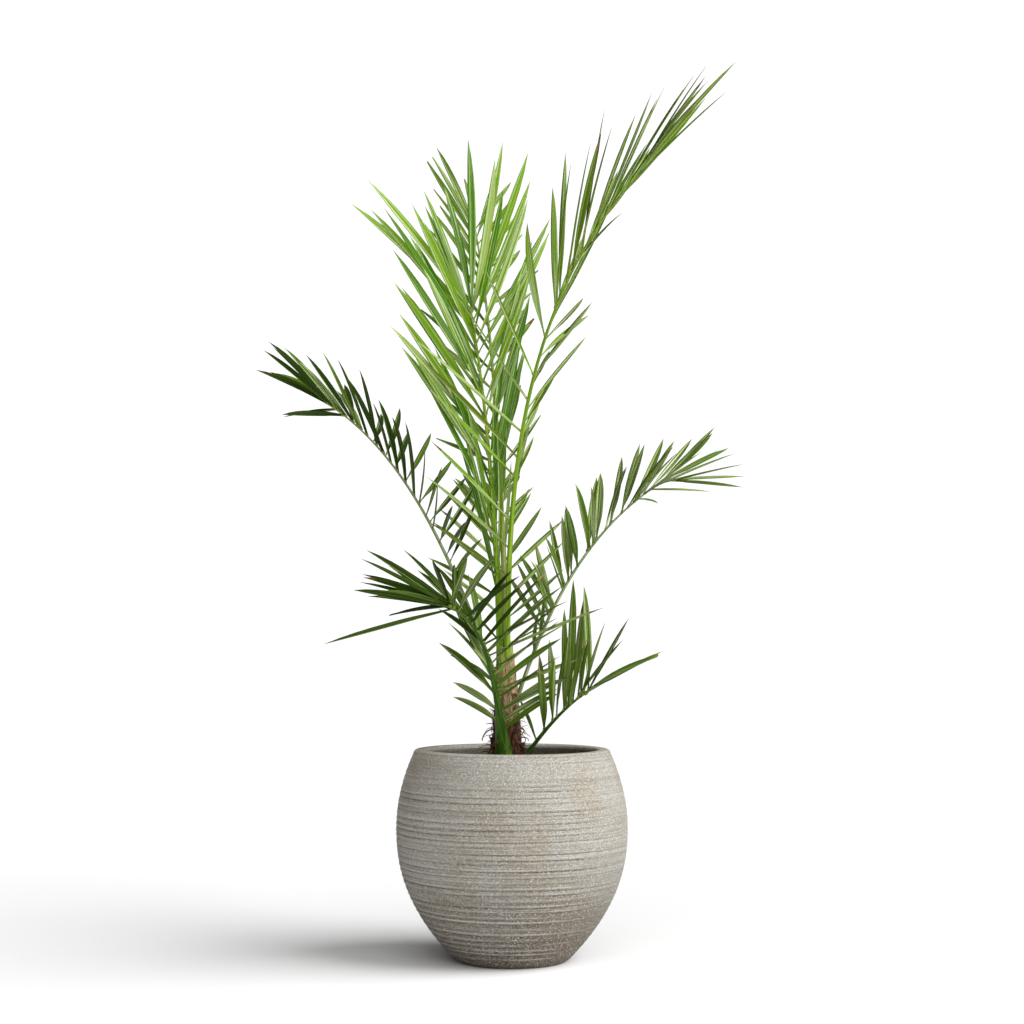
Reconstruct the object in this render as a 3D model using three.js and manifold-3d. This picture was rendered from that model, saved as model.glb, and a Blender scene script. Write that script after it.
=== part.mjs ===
// Potted Canary Island date palm: a young palm with one short trunk, eight feather fronds and a spear
// leaf, growing in a round-bellied stone pot that is filled with soil.
// Millimetres, +Z up. The origin is the centre of the pot's flat underside, +X is the right of the front
// view and +Y its back. Angles are in degrees and turn from +X towards +Y.

import * as THREE from "three";
import { mergeVertices } from "three/addons/utils/BufferGeometryUtils.js";
import Module from "manifold-3d";

const wasm = await Module();
wasm.setup();

// Driving dimensions

const GAP = 0.3; // clear space between two neighbouring pieces

const POT = {
  height: 313,
  rimRadius: 146,
  bellyRadius: 174,
  bellyHeight: 196,
  footRadius: 84,
  footRound: 2.2, // power of the curve from the belly down to the foot
  neckRound: 2, // power of the curve from the belly up to the rim
  wall: 18,
  floor: 22,
  lip: 6, // rounding of the rim's two edges
  lipBelow: 4, // how far below the rounding the inside's outline starts
  sides: 40,
  lowLevels: 7, // steps of the outline below the belly
  highLevels: 3, // and above it
  innerLevels: 5, // steps of the inside from the floor to the soil's edge
};

const SOIL = { top: 273, edge: 267, flatRadius: 46 };

const TRUNK = {
  top: 440,
  leanPerMm: -0.02, // sideways drift of the axis for each millimetre of height
  axisAt: -6, // the axis's x at the soil
  flare: 8, // how far the root flare spreads on the soil
  flareHeight: 18,
  footRadius: 25,
  topRadius: 15,
  steps: 7,
  crowding: 1.6, // crowds the steps together towards the flare
  sides: 12,
};

const LEAF_BASE = {
  count: 5,
  first: 25, // angle of the lowest one
  turn: 137.5, // angle from each to the next
  low: 288, // height of the lowest one's foot
  rise: 9, // height from each to the next
  length: 46,
  halfWidth: 11,
  halfDepth: 6,
  lean: 13,
  hug: 2, // how far its axis starts inside the trunk's face
  tip: 0.6, // width of its cut end as a share of the foot's
  sides: 8,
};

const SPEAR = { length: 262, halfWidth: 2.3, tip: 0.25, lean: 1, azimuth: 180, sides: 6 };

// A frond starts at its foot: an angle round the trunk's axis, a distance out from it and a height. It
// leaves in the direction azimuth, and its rib bends from the first lean off the vertical to the second.
// Its leaflets stand in a left and a right row, as seen looking out along the frond, and both rows crowd
// towards the tip, evenly at crowding 1. A row starts at a share of the blade. Its leaflets stand at the
// angle spread from the rib and are raised by vee above the frond's face: each has five values, evenly
// spaced from the bottom of the blade to its tip.
const FRONDS = [
  {
    name: "frond_tall_right", azimuth: -46, turn: 4, foot: { angle: -80, out: 9, height: 440 },
    stalk: 125, blade: 655, stem: 5.4, lean: [1, 58], bend: 1.8, roll: [14, -16], crowding: 1.3,
    leaflet: 228, first: 0.62, last: 0.93, halfWidth: 6.5, blunt: 0, seed: 327,
    right: { count: 18, start: 0, spread: [58, 62, 52, 26, 15], vee: [25, 18, 8, 20, 25] },
    left: { count: 16, start: 0.18, spread: [66, 70, 80, 68, 38], vee: [52, 46, 30, 33, 28] },
  },
  {
    name: "frond_upright_front", azimuth: 112, turn: 7, foot: { angle: 200, out: 9, height: 440 },
    stalk: 110, blade: 460, stem: 5.4, lean: [4, 19], bend: 1.1, roll: [12, 8], crowding: 1.2,
    leaflet: 230, first: 0.87, last: 1.2, halfWidth: 8, blunt: 0, seed: 300,
    right: { count: 18, start: 0, spread: [4, 8, 18, 32, 25], vee: [10, 13, 16, 21, 29] },
    left: { count: 18, start: 0, spread: [5, 18, 38, 28, 35], vee: [13, 14, 17, 18, 18] },
  },
  {
    name: "frond_upright_back", azimuth: 98, turn: 6, foot: { angle: 80, out: 9, height: 440 },
    stalk: 200, blade: 590, stem: 5.2, lean: [12, 36], bend: 1.6, roll: [0, -15], crowding: 1.3,
    leaflet: 148, first: 0.8, last: 1.05, halfWidth: 6.5, blunt: 0.35, seed: 205,
    right: { count: 15, start: 0.1, spread: [22, 30, 38, 40, 26], vee: [4, -2, -8, -8, 8] },
    left: { count: 15, start: 0.1, spread: [85, 80, 58, 42, 35], vee: [50, 44, 22, 12, 22] },
  },
  {
    name: "frond_arching_left", azimuth: 150, turn: 4, foot: { angle: 140, out: 14, height: 409 },
    stalk: 170, blade: 388, stem: 5.4, lean: [24, 61], bend: 2.1, roll: [0, -12], crowding: 1.35,
    leaflet: 157, first: 0.82, last: 0.95, halfWidth: 6.5, blunt: 0, seed: 302,
    right: { count: 13, start: 0.1, spread: [44, 62, 62, 46, 25], vee: [37, 27, 20, 16, 14] },
    left: { count: 20, start: 0.05, spread: [90, 86, 76, 68, 55], vee: [44, 39, 32, 26, 12] },
  },
  {
    name: "frond_arching_right", azimuth: 28, turn: -12, foot: { angle: 10, out: 14, height: 386 },
    stalk: 80, blade: 353, stem: 5.4, lean: [22, 61], bend: 1.55, roll: [10, 5], crowding: 1.4,
    leaflet: 138, first: 0.85, last: 1.05, halfWidth: 7.8, blunt: 0, seed: 323,
    right: { count: 19, start: 0, spread: [78, 74, 72, 70, 56], vee: [32, 43, 36, 28, -22] },
    left: { count: 13, start: 0.1, spread: [60, 46, 38, 34, 18], vee: [44, 48, 48, 43, 38] },
  },
  {
    name: "frond_low_left", azimuth: -126, turn: -4, foot: { angle: -100, out: 20, height: 285 },
    stalk: 60, blade: 230, stem: 8, lean: [10, 80], bend: 2.5, roll: [-14, 8], crowding: 1.7,
    leaflet: 168, first: 0.65, last: 0.98, halfWidth: 7.5, blunt: 0, seed: 82,
    right: { count: 15, start: 0.1, spread: [80, 62, 74, 76, 72], vee: [29, 36, 40, 38, -4] },
    left: { count: 13, start: 0, spread: [66, 68, 68, 60, 42], vee: [6, 6, 18, 12, 30] },
  },
  {
    name: "frond_low_right", azimuth: -35, turn: 4, foot: { angle: -20, out: 20, height: 295 },
    stalk: 40, blade: 120, stem: 6.5, lean: [42, 62], bend: 2, roll: [-14, -14], crowding: 1.3,
    leaflet: 160, first: 0.75, last: 1, halfWidth: 7.5, blunt: 0, seed: 10,
    right: { count: 8, start: 0.2, spread: [48, 50, 42, 36, 30], vee: [36, 33, 38, 41, 44] },
    left: { count: 7, start: 0, spread: [92, 74, 66, 68, 74], vee: [46, 50, 56, 58, 56] },
  },
  {
    name: "frond_low_back", azimuth: 100, turn: 0, foot: { angle: 90, out: 16, height: 380 },
    stalk: 90, blade: 260, stem: 5.4, lean: [8, 50], bend: 1.2, roll: [0, 0], crowding: 1.3,
    leaflet: 140, first: 0.7, last: 0.7, halfWidth: 6, blunt: 0, seed: 8,
    right: { count: 10, start: 0, spread: [62, 56, 48, 38, 26], vee: [24, 20, 20, 20, 20] },
    left: { count: 10, start: 0, spread: [62, 56, 48, 38, 26], vee: [24, 20, 20, 20, 20] },
  },
];

const RIB = {
  steps: 24, // steps of the curve
  segments: 12, // rings of the solid
  sides: 4,
  tip: 1.4, // half width at the tip
  depth: 0.8, // depth as a share of the width
  sheath: 1.15, // widening at the foot
  sheathLength: 35,
};

const BLADE = {
  sides: 3,
  rings: [0, 0.38, 1], // places of the cross-sections along a leaflet
  width: [0.5, 1, 0], // half width there, as a share of the widest
  depth: [3.2, 3.2, 1.6],
  sunk: 0.45, // how far out in the rib's half width a leaflet's root lies
  bow: 0.03, // droop of the tip as a share of the length
  slim: 0.65, // width of the lowest leaflets as a share of the others'
  fullFrom: 0.5, // share of the blade from which they are full
  last: 0.85, // length of the end leaflet as a share of its neighbours'
};

// How far the seeded rule strays from the even one; along is a share of the space between two leaflets
const WILD = { along: 0.3, spread: 9, vee: 8, length: 0.06, twist: 16, bow: 0.04 };
const PEAK = 0.35; // share of the blade where the leaflets are longest
const SHRINK = 1.5; // power of their shortening from there to the tip
const TURNS = [0, 7, -7, 14, -14]; // turns that a leaflet tries to keep clear of the other fronds
const ROOM = 0.5; // room left on each side of a leaflet

// Colour and gloss of each finish

const FINISHES = {
  stone: { color: 0xb9b3aa, roughness: 0.9 },
  soil: { color: 0x3b2e25, roughness: 1 },
  trunk: { color: 0x6b4a33, roughness: 0.95 },
  leafBase: { color: 0x84643f, roughness: 0.9 },
  bright: { color: 0x8fae4e, roughness: 0.5 },
  mid: { color: 0x6f8f48, roughness: 0.55 },
  dark: { color: 0x566f42, roughness: 0.55 },
  grey: { color: 0x7f9764, roughness: 0.6 },
  straw: { color: 0xc9a877, roughness: 0.7 },
};

const FROND_FINISH = {
  frond_tall_right: "mid",
  frond_upright_front: "bright",
  frond_upright_back: "mid",
  frond_arching_left: "dark",
  frond_arching_right: "grey",
  frond_low_left: "dark",
  frond_low_right: "grey",
  frond_low_back: "mid",
};

// Factors of the seeded noise, which is the fraction of a large multiple of a sine
const NOISE = { seed: 12.9898, index: 78.233, channel: 37.719, multiple: 43758.5453 };

// Small helpers

const radians = THREE.MathUtils.degToRad;
const mix = THREE.MathUtils.lerp;
const along = (point, direction, distance) => point.clone().addScaledVector(direction, distance);

/** A repeatable value between -1 and 1 for one leaflet of one frond. */
function noise(seed, index, channel) {
  const angle = seed * NOISE.seed + index * NOISE.index + channel * NOISE.channel;
  const wave = Math.sin(angle) * NOISE.multiple;
  return (wave - Math.floor(wave)) * 2 - 1;
}

/** Moves every vertex of a geometry to place(x, y, z). */
function reshape(geometry, place) {
  const position = geometry.attributes.position;
  const vertex = new THREE.Vector3();
  for (let i = 0; i < position.count; i++) {
    vertex.fromBufferAttribute(position, i);
    const moved = place(vertex.x, vertex.y, vertex.z);
    position.setXYZ(i, moved.x, moved.y, moved.z);
  }
  return geometry;
}

/** The solid inside a closed geometry. */
function solidOf(geometry) {
  const bare = geometry.clone();
  bare.deleteAttribute("normal");
  bare.deleteAttribute("uv");
  const merged = mergeVertices(bare, 1e-4);
  const triVerts = new Uint32Array(merged.index.array);
  const vertProperties = new Float32Array(merged.attributes.position.array);
  return new wasm.Manifold(new wasm.Mesh({ numProp: 3, vertProperties, triVerts }));
}

/** The geometry of a solid's surface. */
function geometryOf(solid) {
  const mesh = solid.getMesh();
  const geometry = new THREE.BufferGeometry();
  geometry.setAttribute("position", new THREE.BufferAttribute(mesh.vertProperties, 3));
  geometry.setIndex(new THREE.BufferAttribute(mesh.triVerts, 1));
  geometry.computeVertexNormals();
  return geometry;
}

/** The largest shell of a solid, without the scraps that a cut leaves and the hollows that a union seals. */
function largest(solid) {
  return solid.decompose().reduce((a, b) => (a.volume() >= b.volume() ? a : b));
}

const touches = (a, b) => a.intersect(b).volume() > 0;

// Pot and soil

/** The pot's outer radius at a height. */
function potRadius(height) {
  const { bellyRadius, bellyHeight, footRadius, rimRadius } = POT;
  if (height < bellyHeight) {
    const down = (bellyHeight - height) / bellyHeight;
    return bellyRadius - (bellyRadius - footRadius) * down ** POT.footRound;
  }
  const up = (height - bellyHeight) / (POT.height - bellyHeight);
  return bellyRadius - (bellyRadius - rimRadius) * up ** POT.neckRound;
}

const evenly = (from, to, steps) => Array.from({ length: steps + 1 }, (_, i) => mix(from, to, i / steps));

/** The heights of the inside's outline, shared by the pot and the soil so that their facets run parallel. */
const innerLevels = evenly(POT.floor, SOIL.edge, POT.innerLevels);
const innerRadius = (height) => potRadius(height) - POT.wall;

function potGeometry() {
  const { height, bellyHeight, rimRadius, lip, lipBelow, wall, floor } = POT;
  const levels = [
    ...evenly(0, bellyHeight, POT.lowLevels),
    ...evenly(bellyHeight, height - lip, POT.highLevels).slice(1),
  ];
  const edge = Math.SQRT1_2 * lip;
  const inside = rimRadius - wall;
  const innerRise = [height - lip - lipBelow, ...innerLevels.toReversed()];
  const outline = [
    new THREE.Vector2(0, 0),
    ...levels.map((z) => new THREE.Vector2(potRadius(z), z)),
    new THREE.Vector2(rimRadius - lip + edge, height - lip + edge),
    new THREE.Vector2(rimRadius - lip, height),
    new THREE.Vector2(inside + lip, height),
    new THREE.Vector2(inside + lip - edge, height - lip + edge),
    ...innerRise.map((z) => new THREE.Vector2(innerRadius(z), z)),
    new THREE.Vector2(0, floor),
  ];
  return new THREE.LatheGeometry(outline, POT.sides).rotateX(Math.PI / 2);
}

function soilGeometry() {
  const levels = [POT.floor + GAP, ...innerLevels.slice(1)];
  const outline = [
    new THREE.Vector2(0, POT.floor + GAP),
    ...levels.map((z) => new THREE.Vector2(innerRadius(z) - 2 * GAP, z)),
    new THREE.Vector2(SOIL.flatRadius, SOIL.top),
    new THREE.Vector2(0, SOIL.top),
  ];
  return new THREE.LatheGeometry(outline, POT.sides).rotateX(Math.PI / 2);
}

// Trunk and old leaf bases

const trunkX = (height) => TRUNK.axisAt + (height - SOIL.top) * TRUNK.leanPerMm;

/** The trunk's radius at a height: an even taper with a root flare at the soil. */
function trunkRadius(height) {
  const up = height - SOIL.top;
  const taper = mix(TRUNK.footRadius, TRUNK.topRadius, up / (TRUNK.top - SOIL.top));
  return taper + TRUNK.flare * Math.max(0, 1 - up / TRUNK.flareHeight) ** 2;
}

/** The trunk's solid from its flat cut at the soil, larger all round by extra. */
function trunkSolid(extra) {
  const { top, sides, steps } = TRUNK;
  const foot = SOIL.top + GAP;
  const shape = new THREE.CylinderGeometry(1, 1, 1, sides, steps);
  return solidOf(
    reshape(shape, (x, y, z) => {
      const share = y + 0.5;
      const height = mix(foot - extra, top + extra, share ** TRUNK.crowding);
      const radius = trunkRadius(Math.max(foot, height)) + extra;
      return new THREE.Vector3(trunkX(height) + x * radius, -z * radius, height);
    }),
  );
}

/** The ith old leaf base: a short tapered scale that hugs the trunk and leans out of it. */
function leafBaseSolid(index, keepClear) {
  const base = LEAF_BASE;
  const angle = radians(base.first + index * base.turn);
  const outward = new THREE.Vector3(Math.cos(angle), Math.sin(angle), 0);
  const sideways = new THREE.Vector3(-Math.sin(angle), Math.cos(angle), 0);
  const lean = radians(base.lean);
  const rise = new THREE.Vector3(0, 0, Math.cos(lean)).addScaledVector(outward, Math.sin(lean));
  const low = base.low + index * base.rise;
  const foot = along(new THREE.Vector3(trunkX(low), 0, low), outward, trunkRadius(low) - base.hug);
  const shape = new THREE.CylinderGeometry(base.tip, 1, 1, base.sides, 2);
  const whole = reshape(shape, (x, y, z) =>
    along(foot, rise, (y + 0.5) * base.length)
      .addScaledVector(sideways, x * base.halfWidth)
      .addScaledVector(outward, z * base.halfDepth),
  );
  return largest(solidOf(whole).subtract(keepClear));
}

// Fronds

/** Points and directions along a frond's rib: T along it, S to its side, N out of its upper face. */
function ribFrames(frond) {
  const { foot, lean, roll } = frond;
  const footAngle = radians(foot.angle);
  const length = frond.stalk + frond.blade;
  let point = new THREE.Vector3(
    trunkX(foot.height) + foot.out * Math.cos(footAngle),
    foot.out * Math.sin(footAngle),
    foot.height,
  );
  return evenly(0, 1, RIB.steps).map((share) => {
    const tilt = radians(mix(lean[0], lean[1], share ** frond.bend));
    const azimuth = radians(frond.azimuth + frond.turn * share);
    const side = new THREE.Vector3(-Math.sin(azimuth), Math.cos(azimuth), 0);
    const T = new THREE.Vector3(Math.cos(azimuth), Math.sin(azimuth), 0)
      .multiplyScalar(Math.sin(tilt))
      .setZ(Math.cos(tilt));
    const rolled = radians(mix(roll[0], roll[1], share));
    const face = new THREE.Vector3().crossVectors(T, side);
    const S = along(side.clone().multiplyScalar(Math.cos(rolled)), face, -Math.sin(rolled));
    const N = new THREE.Vector3().crossVectors(T, S);
    const frame = { point, T, S, N };
    point = along(point, T, length / RIB.steps);
    return frame;
  });
}

/** The frame at a share of the whole length. */
function frameAt(frames, share) {
  const place = THREE.MathUtils.clamp(share, 0, 1) * (frames.length - 1);
  const low = Math.min(Math.floor(place), frames.length - 2);
  const [a, b] = [frames[low], frames[low + 1]];
  const part = place - low;
  const T = a.T.clone().lerp(b.T, part).normalize();
  const S = a.S.clone().lerp(b.S, part).normalize();
  return { point: a.point.clone().lerp(b.point, part), T, S, N: a.N.clone().lerp(b.N, part).normalize() };
}

/** Half the rib's width at a share of the whole length. */
function ribHalfWidth(frond, share) {
  const fromFoot = share * (frond.stalk + frond.blade);
  const sheath = 1 + (RIB.sheath - 1) * Math.max(0, 1 - fromFoot / RIB.sheathLength);
  return (RIB.tip + (frond.stem - RIB.tip) * (1 - share)) * sheath;
}

/** The solid of a frond's stalk and rib. */
function ribSolid(frond, frames) {
  const shape = new THREE.CylinderGeometry(1, 1, 1, RIB.sides, RIB.segments);
  return solidOf(
    reshape(shape, (x, y, z) => {
      const share = y + 0.5;
      const { point, S, N } = frameAt(frames, share);
      const half = ribHalfWidth(frond, share);
      return along(point, S, x * half).addScaledVector(N, -z * half * RIB.depth);
    }),
  );
}

/** The value at a share of the blade among values that are evenly spaced along it. */
function valueAt(values, share) {
  const place = share * (values.length - 1);
  const low = Math.min(Math.floor(place), values.length - 2);
  return mix(values[low], values[low + 1], place - low);
}

/** Root, direction, facing and length of each leaflet, row by row from the stalk to the tip. */
function leafletRule(frond, frames) {
  const { seed, stalk, blade, first, last } = frond;
  const made = [];
  for (const [side, row] of [[-1, frond.right], [1, frond.left]]) {
    for (let place = 0; place < row.count; place++) {
      const index = made.length;
      const shifted = (place + WILD.along * noise(seed, index, 1)) / (row.count - 1);
      const crowded = 1 - (1 - THREE.MathUtils.clamp(shifted, 0, 1)) ** frond.crowding;
      const share = mix(row.start, 1, crowded);
      const grow = Math.min(1, first + (1 - first) * (share / PEAK));
      const shrink = 1 - (1 - last) * Math.max(0, (share - PEAK) / (1 - PEAK)) ** SHRINK;
      made.push({
        side,
        share,
        spread: Math.max(1, valueAt(row.spread, share) + WILD.spread * noise(seed, index, 2)),
        vee: valueAt(row.vee, share) + WILD.vee * noise(seed, index, 3),
        length: frond.leaflet * grow * shrink * (1 + WILD.length * noise(seed, index, 4)),
        twist: WILD.twist * noise(seed, index, 5),
        bow: BLADE.bow + WILD.bow * noise(seed, index, 6),
      });
    }
  }
  const endLength = frond.leaflet * last * BLADE.last;
  made.push({ side: 0, share: 1, spread: 0, vee: 0, length: endLength, twist: 0, bow: BLADE.bow });
  return made.map((leaflet) => {
    const at = (stalk + blade * leaflet.share) / (stalk + blade);
    return { ...leaflet, at, frame: frameAt(frames, at) };
  });
}

/** One leaflet as a slender three-sided solid with its keel below, turned by turn and larger by extra. */
function leafletSolid(frond, leaflet, turn, extra) {
  const { point, T, S, N } = leaflet.frame;
  const spread = radians(leaflet.spread);
  const raised = radians(leaflet.vee + turn);
  const out = S.clone().multiplyScalar(leaflet.side * Math.cos(raised)).addScaledVector(N, Math.sin(raised));
  const D = T.clone().multiplyScalar(Math.cos(spread)).addScaledVector(out, Math.sin(spread)).normalize();
  const facing = along(N, D, -N.dot(D)).normalize();
  facing.applyAxisAngle(D, radians(leaflet.twist));
  const W = new THREE.Vector3().crossVectors(facing, D);
  const root = along(point, S, leaflet.side * BLADE.sunk * ribHalfWidth(frond, leaflet.at));
  const steps = BLADE.rings.length - 1;
  const shape = new THREE.CylinderGeometry(frond.blunt, 1, 1, BLADE.sides, steps);
  const edge = Math.sin((2 * Math.PI) / BLADE.sides);
  const widest = frond.halfWidth * mix(BLADE.slim, 1, Math.min(1, leaflet.share / BLADE.fullFrom));
  return solidOf(
    reshape(shape, (x, y, z) => {
      const ring = Math.round((y + 0.5) * steps);
      const radius = Math.hypot(x, z) || 1;
      const share = BLADE.rings[ring];
      const tipWidth = ring === steps ? frond.blunt : BLADE.width[ring];
      const half = tipWidth * widest + (ring < steps ? extra : 0);
      const depth = BLADE.depth[ring] + 2 * extra;
      const below = ring === steps && !frond.blunt ? 0 : ((z / radius + 0.5) / 1.5) * depth - extra;
      return along(root, D, share * leaflet.length)
        .addScaledVector(N, -leaflet.bow * leaflet.length * share * share)
        .addScaledVector(W, (x / radius / edge) * half)
        .addScaledVector(facing, -below);
    }),
  );
}

/** The spear leaf: the youngest frond, still folded, standing between the upright stalks. */
function spearSolid() {
  const azimuth = radians(SPEAR.azimuth);
  const lean = radians(SPEAR.lean);
  const foot = new THREE.Vector3(trunkX(TRUNK.top), 0, TRUNK.top + GAP);
  const rise = new THREE.Vector3(Math.cos(azimuth) * Math.sin(lean), 0, Math.cos(lean));
  const shape = new THREE.CylinderGeometry(SPEAR.tip, 1, 1, SPEAR.sides, 1);
  return solidOf(
    reshape(shape, (x, y, z) => {
      const side = new THREE.Vector3(x * SPEAR.halfWidth, -z * SPEAR.halfWidth, 0);
      return along(foot, rise, (y + 0.5) * SPEAR.length).add(side);
    }),
  );
}

// Assembly

const palm = new THREE.Group();

function addMesh(name, geometry, finish) {
  const material = new THREE.MeshStandardMaterial({ ...FINISHES[finish], metalness: 0 });
  const mesh = new THREE.Mesh(geometry, material);
  mesh.name = name;
  palm.add(mesh);
}

addMesh("pot", potGeometry(), "stone");
addMesh("soil", soilGeometry(), "soil");
const trunk = trunkSolid(0);
const trunkRoom = trunkSolid(GAP);
addMesh("trunk", geometryOf(trunk), "trunk");
const spear = spearSolid();
addMesh("spear_leaf", geometryOf(spear), "straw");

// Every stalk and rib is laid first, so that each leaflet can keep clear of the other fronds' ribs.
const grown = FRONDS.map((frond) => {
  const frames = ribFrames(frond);
  return { frond, frames, solid: largest(ribSolid(frond, frames).subtract(trunkRoom)) };
});

const stalkRoom = grown.reduce(
  (sum, { frond, frames }) => sum.add(ribSolid({ ...frond, stem: frond.stem + 2 * GAP }, frames)),
  trunkRoom,
);
let core = trunkRoom.add(spear);
for (let index = 0; index < LEAF_BASE.count; index++) {
  const leafBase = leafBaseSolid(index, stalkRoom);
  addMesh(`leaf_base_${index + 1}`, geometryOf(leafBase), "leafBase");
  core = core.add(leafBase);
}

for (const entry of grown) {
  const { frond, frames } = entry;
  const others = grown.filter((other) => other !== entry).reduce((sum, other) => sum.add(other.solid), core);
  for (const leaflet of leafletRule(frond, frames)) {
    const turn = TURNS.find((degrees) => !touches(leafletSolid(frond, leaflet, degrees, ROOM), others));
    if (turn !== undefined) entry.solid = entry.solid.add(leafletSolid(frond, leaflet, turn, 0));
  }
  entry.solid = largest(entry.solid);
  addMesh(frond.name, geometryOf(entry.solid), FROND_FINISH[frond.name]);
}

export default palm;
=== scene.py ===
"""The potted Canary Island date palm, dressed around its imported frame.

Lengths in the classes are millimetres, as in the part's source, and the meshes are written in metres.
Angles are in degrees and turn from +X towards +Y. +Z is up, and the camera looks along +Y.
"""

import logging
import math
from collections.abc import Callable, Sequence
from dataclasses import dataclass, field
from enum import Enum, IntEnum

import bmesh
import bpy
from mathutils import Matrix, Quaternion, Vector, noise
from mathutils.bvhtree import BVHTree


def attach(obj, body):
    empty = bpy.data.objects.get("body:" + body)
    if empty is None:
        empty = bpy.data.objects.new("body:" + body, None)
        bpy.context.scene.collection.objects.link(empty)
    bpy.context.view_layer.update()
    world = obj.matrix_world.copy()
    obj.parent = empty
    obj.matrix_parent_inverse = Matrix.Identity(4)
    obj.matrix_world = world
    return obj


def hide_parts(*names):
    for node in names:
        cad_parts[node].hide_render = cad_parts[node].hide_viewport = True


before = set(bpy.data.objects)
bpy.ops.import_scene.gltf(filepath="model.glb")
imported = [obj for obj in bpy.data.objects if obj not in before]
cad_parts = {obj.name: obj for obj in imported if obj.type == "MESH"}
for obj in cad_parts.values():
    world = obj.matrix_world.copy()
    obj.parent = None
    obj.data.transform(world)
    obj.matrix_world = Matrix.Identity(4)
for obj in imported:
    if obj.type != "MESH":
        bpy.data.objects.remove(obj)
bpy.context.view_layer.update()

BODY = "root"
MM = 0.001
WELD = 1e-6
UP = Vector((0.0, 0.0, 1.0))
LOG = logging.getLogger("palm")

Colour = tuple[float, float, float]
Pair = tuple[float, float]
Polygons = list[tuple[int, ...]]
Value = float | Sequence[float] | bpy.types.NodeSocket
Mesh = bmesh.types.BMesh
Socket = bpy.types.NodeSocket
Material = bpy.types.Material
Node = bpy.types.Node
Piece = bpy.types.Object


# Small helpers


def mix(low: float, high: float, share: float) -> float:
    """Returns the value at a share of the way from low to high."""
    return low + (high - low) * share


def ease(share: float) -> float:
    """Returns a share from 0 to 1 with a soft start and a soft end."""
    held = min(max(share, 0.0), 1.0)
    return held * held * (3.0 - 2.0 * held)


def rough(x: float, y: float, z: float) -> float:
    """Returns smooth noise between about -1 and 1 at a point."""
    return noise.noise(Vector((x, y, z)))


@dataclass(frozen=True)
class Draw:
    """The repeatable random values of one leaflet or part, by the source's rule."""

    seed: float
    index: int
    per_seed: float = 12.9898
    per_index: float = 78.233
    per_channel: float = 37.719
    stretch: float = 43758.5453

    def swing(self, channel: int) -> float:
        """Returns the value of one channel between -1 and 1, the same in every run."""
        place = self.seed * self.per_seed + self.index * self.per_index + channel * self.per_channel
        turned = math.sin(place) * self.stretch
        return (turned - math.floor(turned)) * 2.0 - 1.0

    def share(self, channel: int) -> float:
        """Returns the value of one channel between 0 and 1."""
        return 0.5 + 0.5 * self.swing(channel)

    def between(self, channel: int, low: float, high: float, power: float = 1.0) -> float:
        """Returns a value from low to high, which lies nearer to low where the power is above 1."""
        return mix(low, high, self.share(channel) ** power)


def around(angle: float) -> tuple[Vector, Vector]:
    """Returns the level directions outwards and sideways at an angle round Z, in radians."""
    outward = Vector((math.cos(angle), math.sin(angle), 0.0))
    return outward, UP.cross(outward)


def unit_tube(sides: int, rings: int) -> Mesh:
    """Makes a closed tube of radius 1 along Z from 0 to 1.

    Args:
        sides: Number of faces round it.
        rings: Number of faces along it.

    Returns:
        The new mesh.
    """
    tube = bmesh.new()
    bmesh.ops.create_cone(tube, cap_ends=True, segments=sides, radius1=1.0, radius2=1.0, depth=1.0)
    bmesh.ops.translate(tube, vec=(0.0, 0.0, 0.5), verts=tube.verts)
    upright = [edge for edge in tube.edges if abs(edge.verts[0].co.z - edge.verts[1].co.z) > 0.5]
    bmesh.ops.subdivide_edges(tube, edges=upright, cuts=rings - 1, use_grid_fill=True)
    return tube


def reshape(mesh: Mesh, place: Callable[[float, float], Vector]) -> None:
    """Moves every vertex of a unit tube to the place of its angle and height.

    Args:
        mesh: A unit tube.
        place: Gives a point in millimetres for an angle in radians and a height from 0 to 1.
    """
    for vert in mesh.verts:
        vert.co = place(math.atan2(vert.co.y, vert.co.x), vert.co.z) * MM


def shaped_tube(sides: int, rings: int, place: Callable[[float, float], Vector], mend: bool = True) -> Mesh:
    """Makes a reshaped unit tube.

    Args:
        sides: Number of faces round it.
        rings: Number of faces along it.
        place: Gives a point in millimetres for an angle in radians and a height from 0 to 1.
        mend: Whether its faces are turned outwards again.

    Returns:
        The new mesh.
    """
    mesh = unit_tube(sides, rings)
    reshape(mesh, place)
    if mend:
        bmesh.ops.recalc_face_normals(mesh, faces=mesh.faces)
    return mesh


def turned_shape(outline: Sequence[Pair], turns: int) -> Mesh:
    """Turns an outline round Z.

    Args:
        outline: Radius and height of its points, in millimetres.
        turns: Number of faces round it.

    Returns:
        The new mesh.
    """
    mesh = bmesh.new()
    verts = [mesh.verts.new((radius * MM, 0.0, height * MM)) for radius, height in outline]
    edges = [mesh.edges.new(pair) for pair in zip(verts, verts[1:])]
    turn = {"cent": (0.0, 0.0, 0.0), "axis": UP, "angle": math.tau}
    bmesh.ops.spin(mesh, geom=verts + edges, steps=turns, use_merge=True, **turn)
    bmesh.ops.remove_doubles(mesh, verts=mesh.verts, dist=WELD)
    bmesh.ops.recalc_face_normals(mesh, faces=mesh.faces)
    return mesh


def append(target: Mesh, part: Mesh, material: int = 0) -> None:
    """Adds a part to a mesh with one material and frees the part.

    Args:
        target: The mesh that grows.
        part: The mesh to add.
        material: Index of the material of the added faces.
    """
    for face in part.faces:
        face.material_index = material
    held = bpy.data.meshes.new("held")
    part.to_mesh(held)
    part.free()
    target.from_mesh(held)
    bpy.data.meshes.remove(held)


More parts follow.
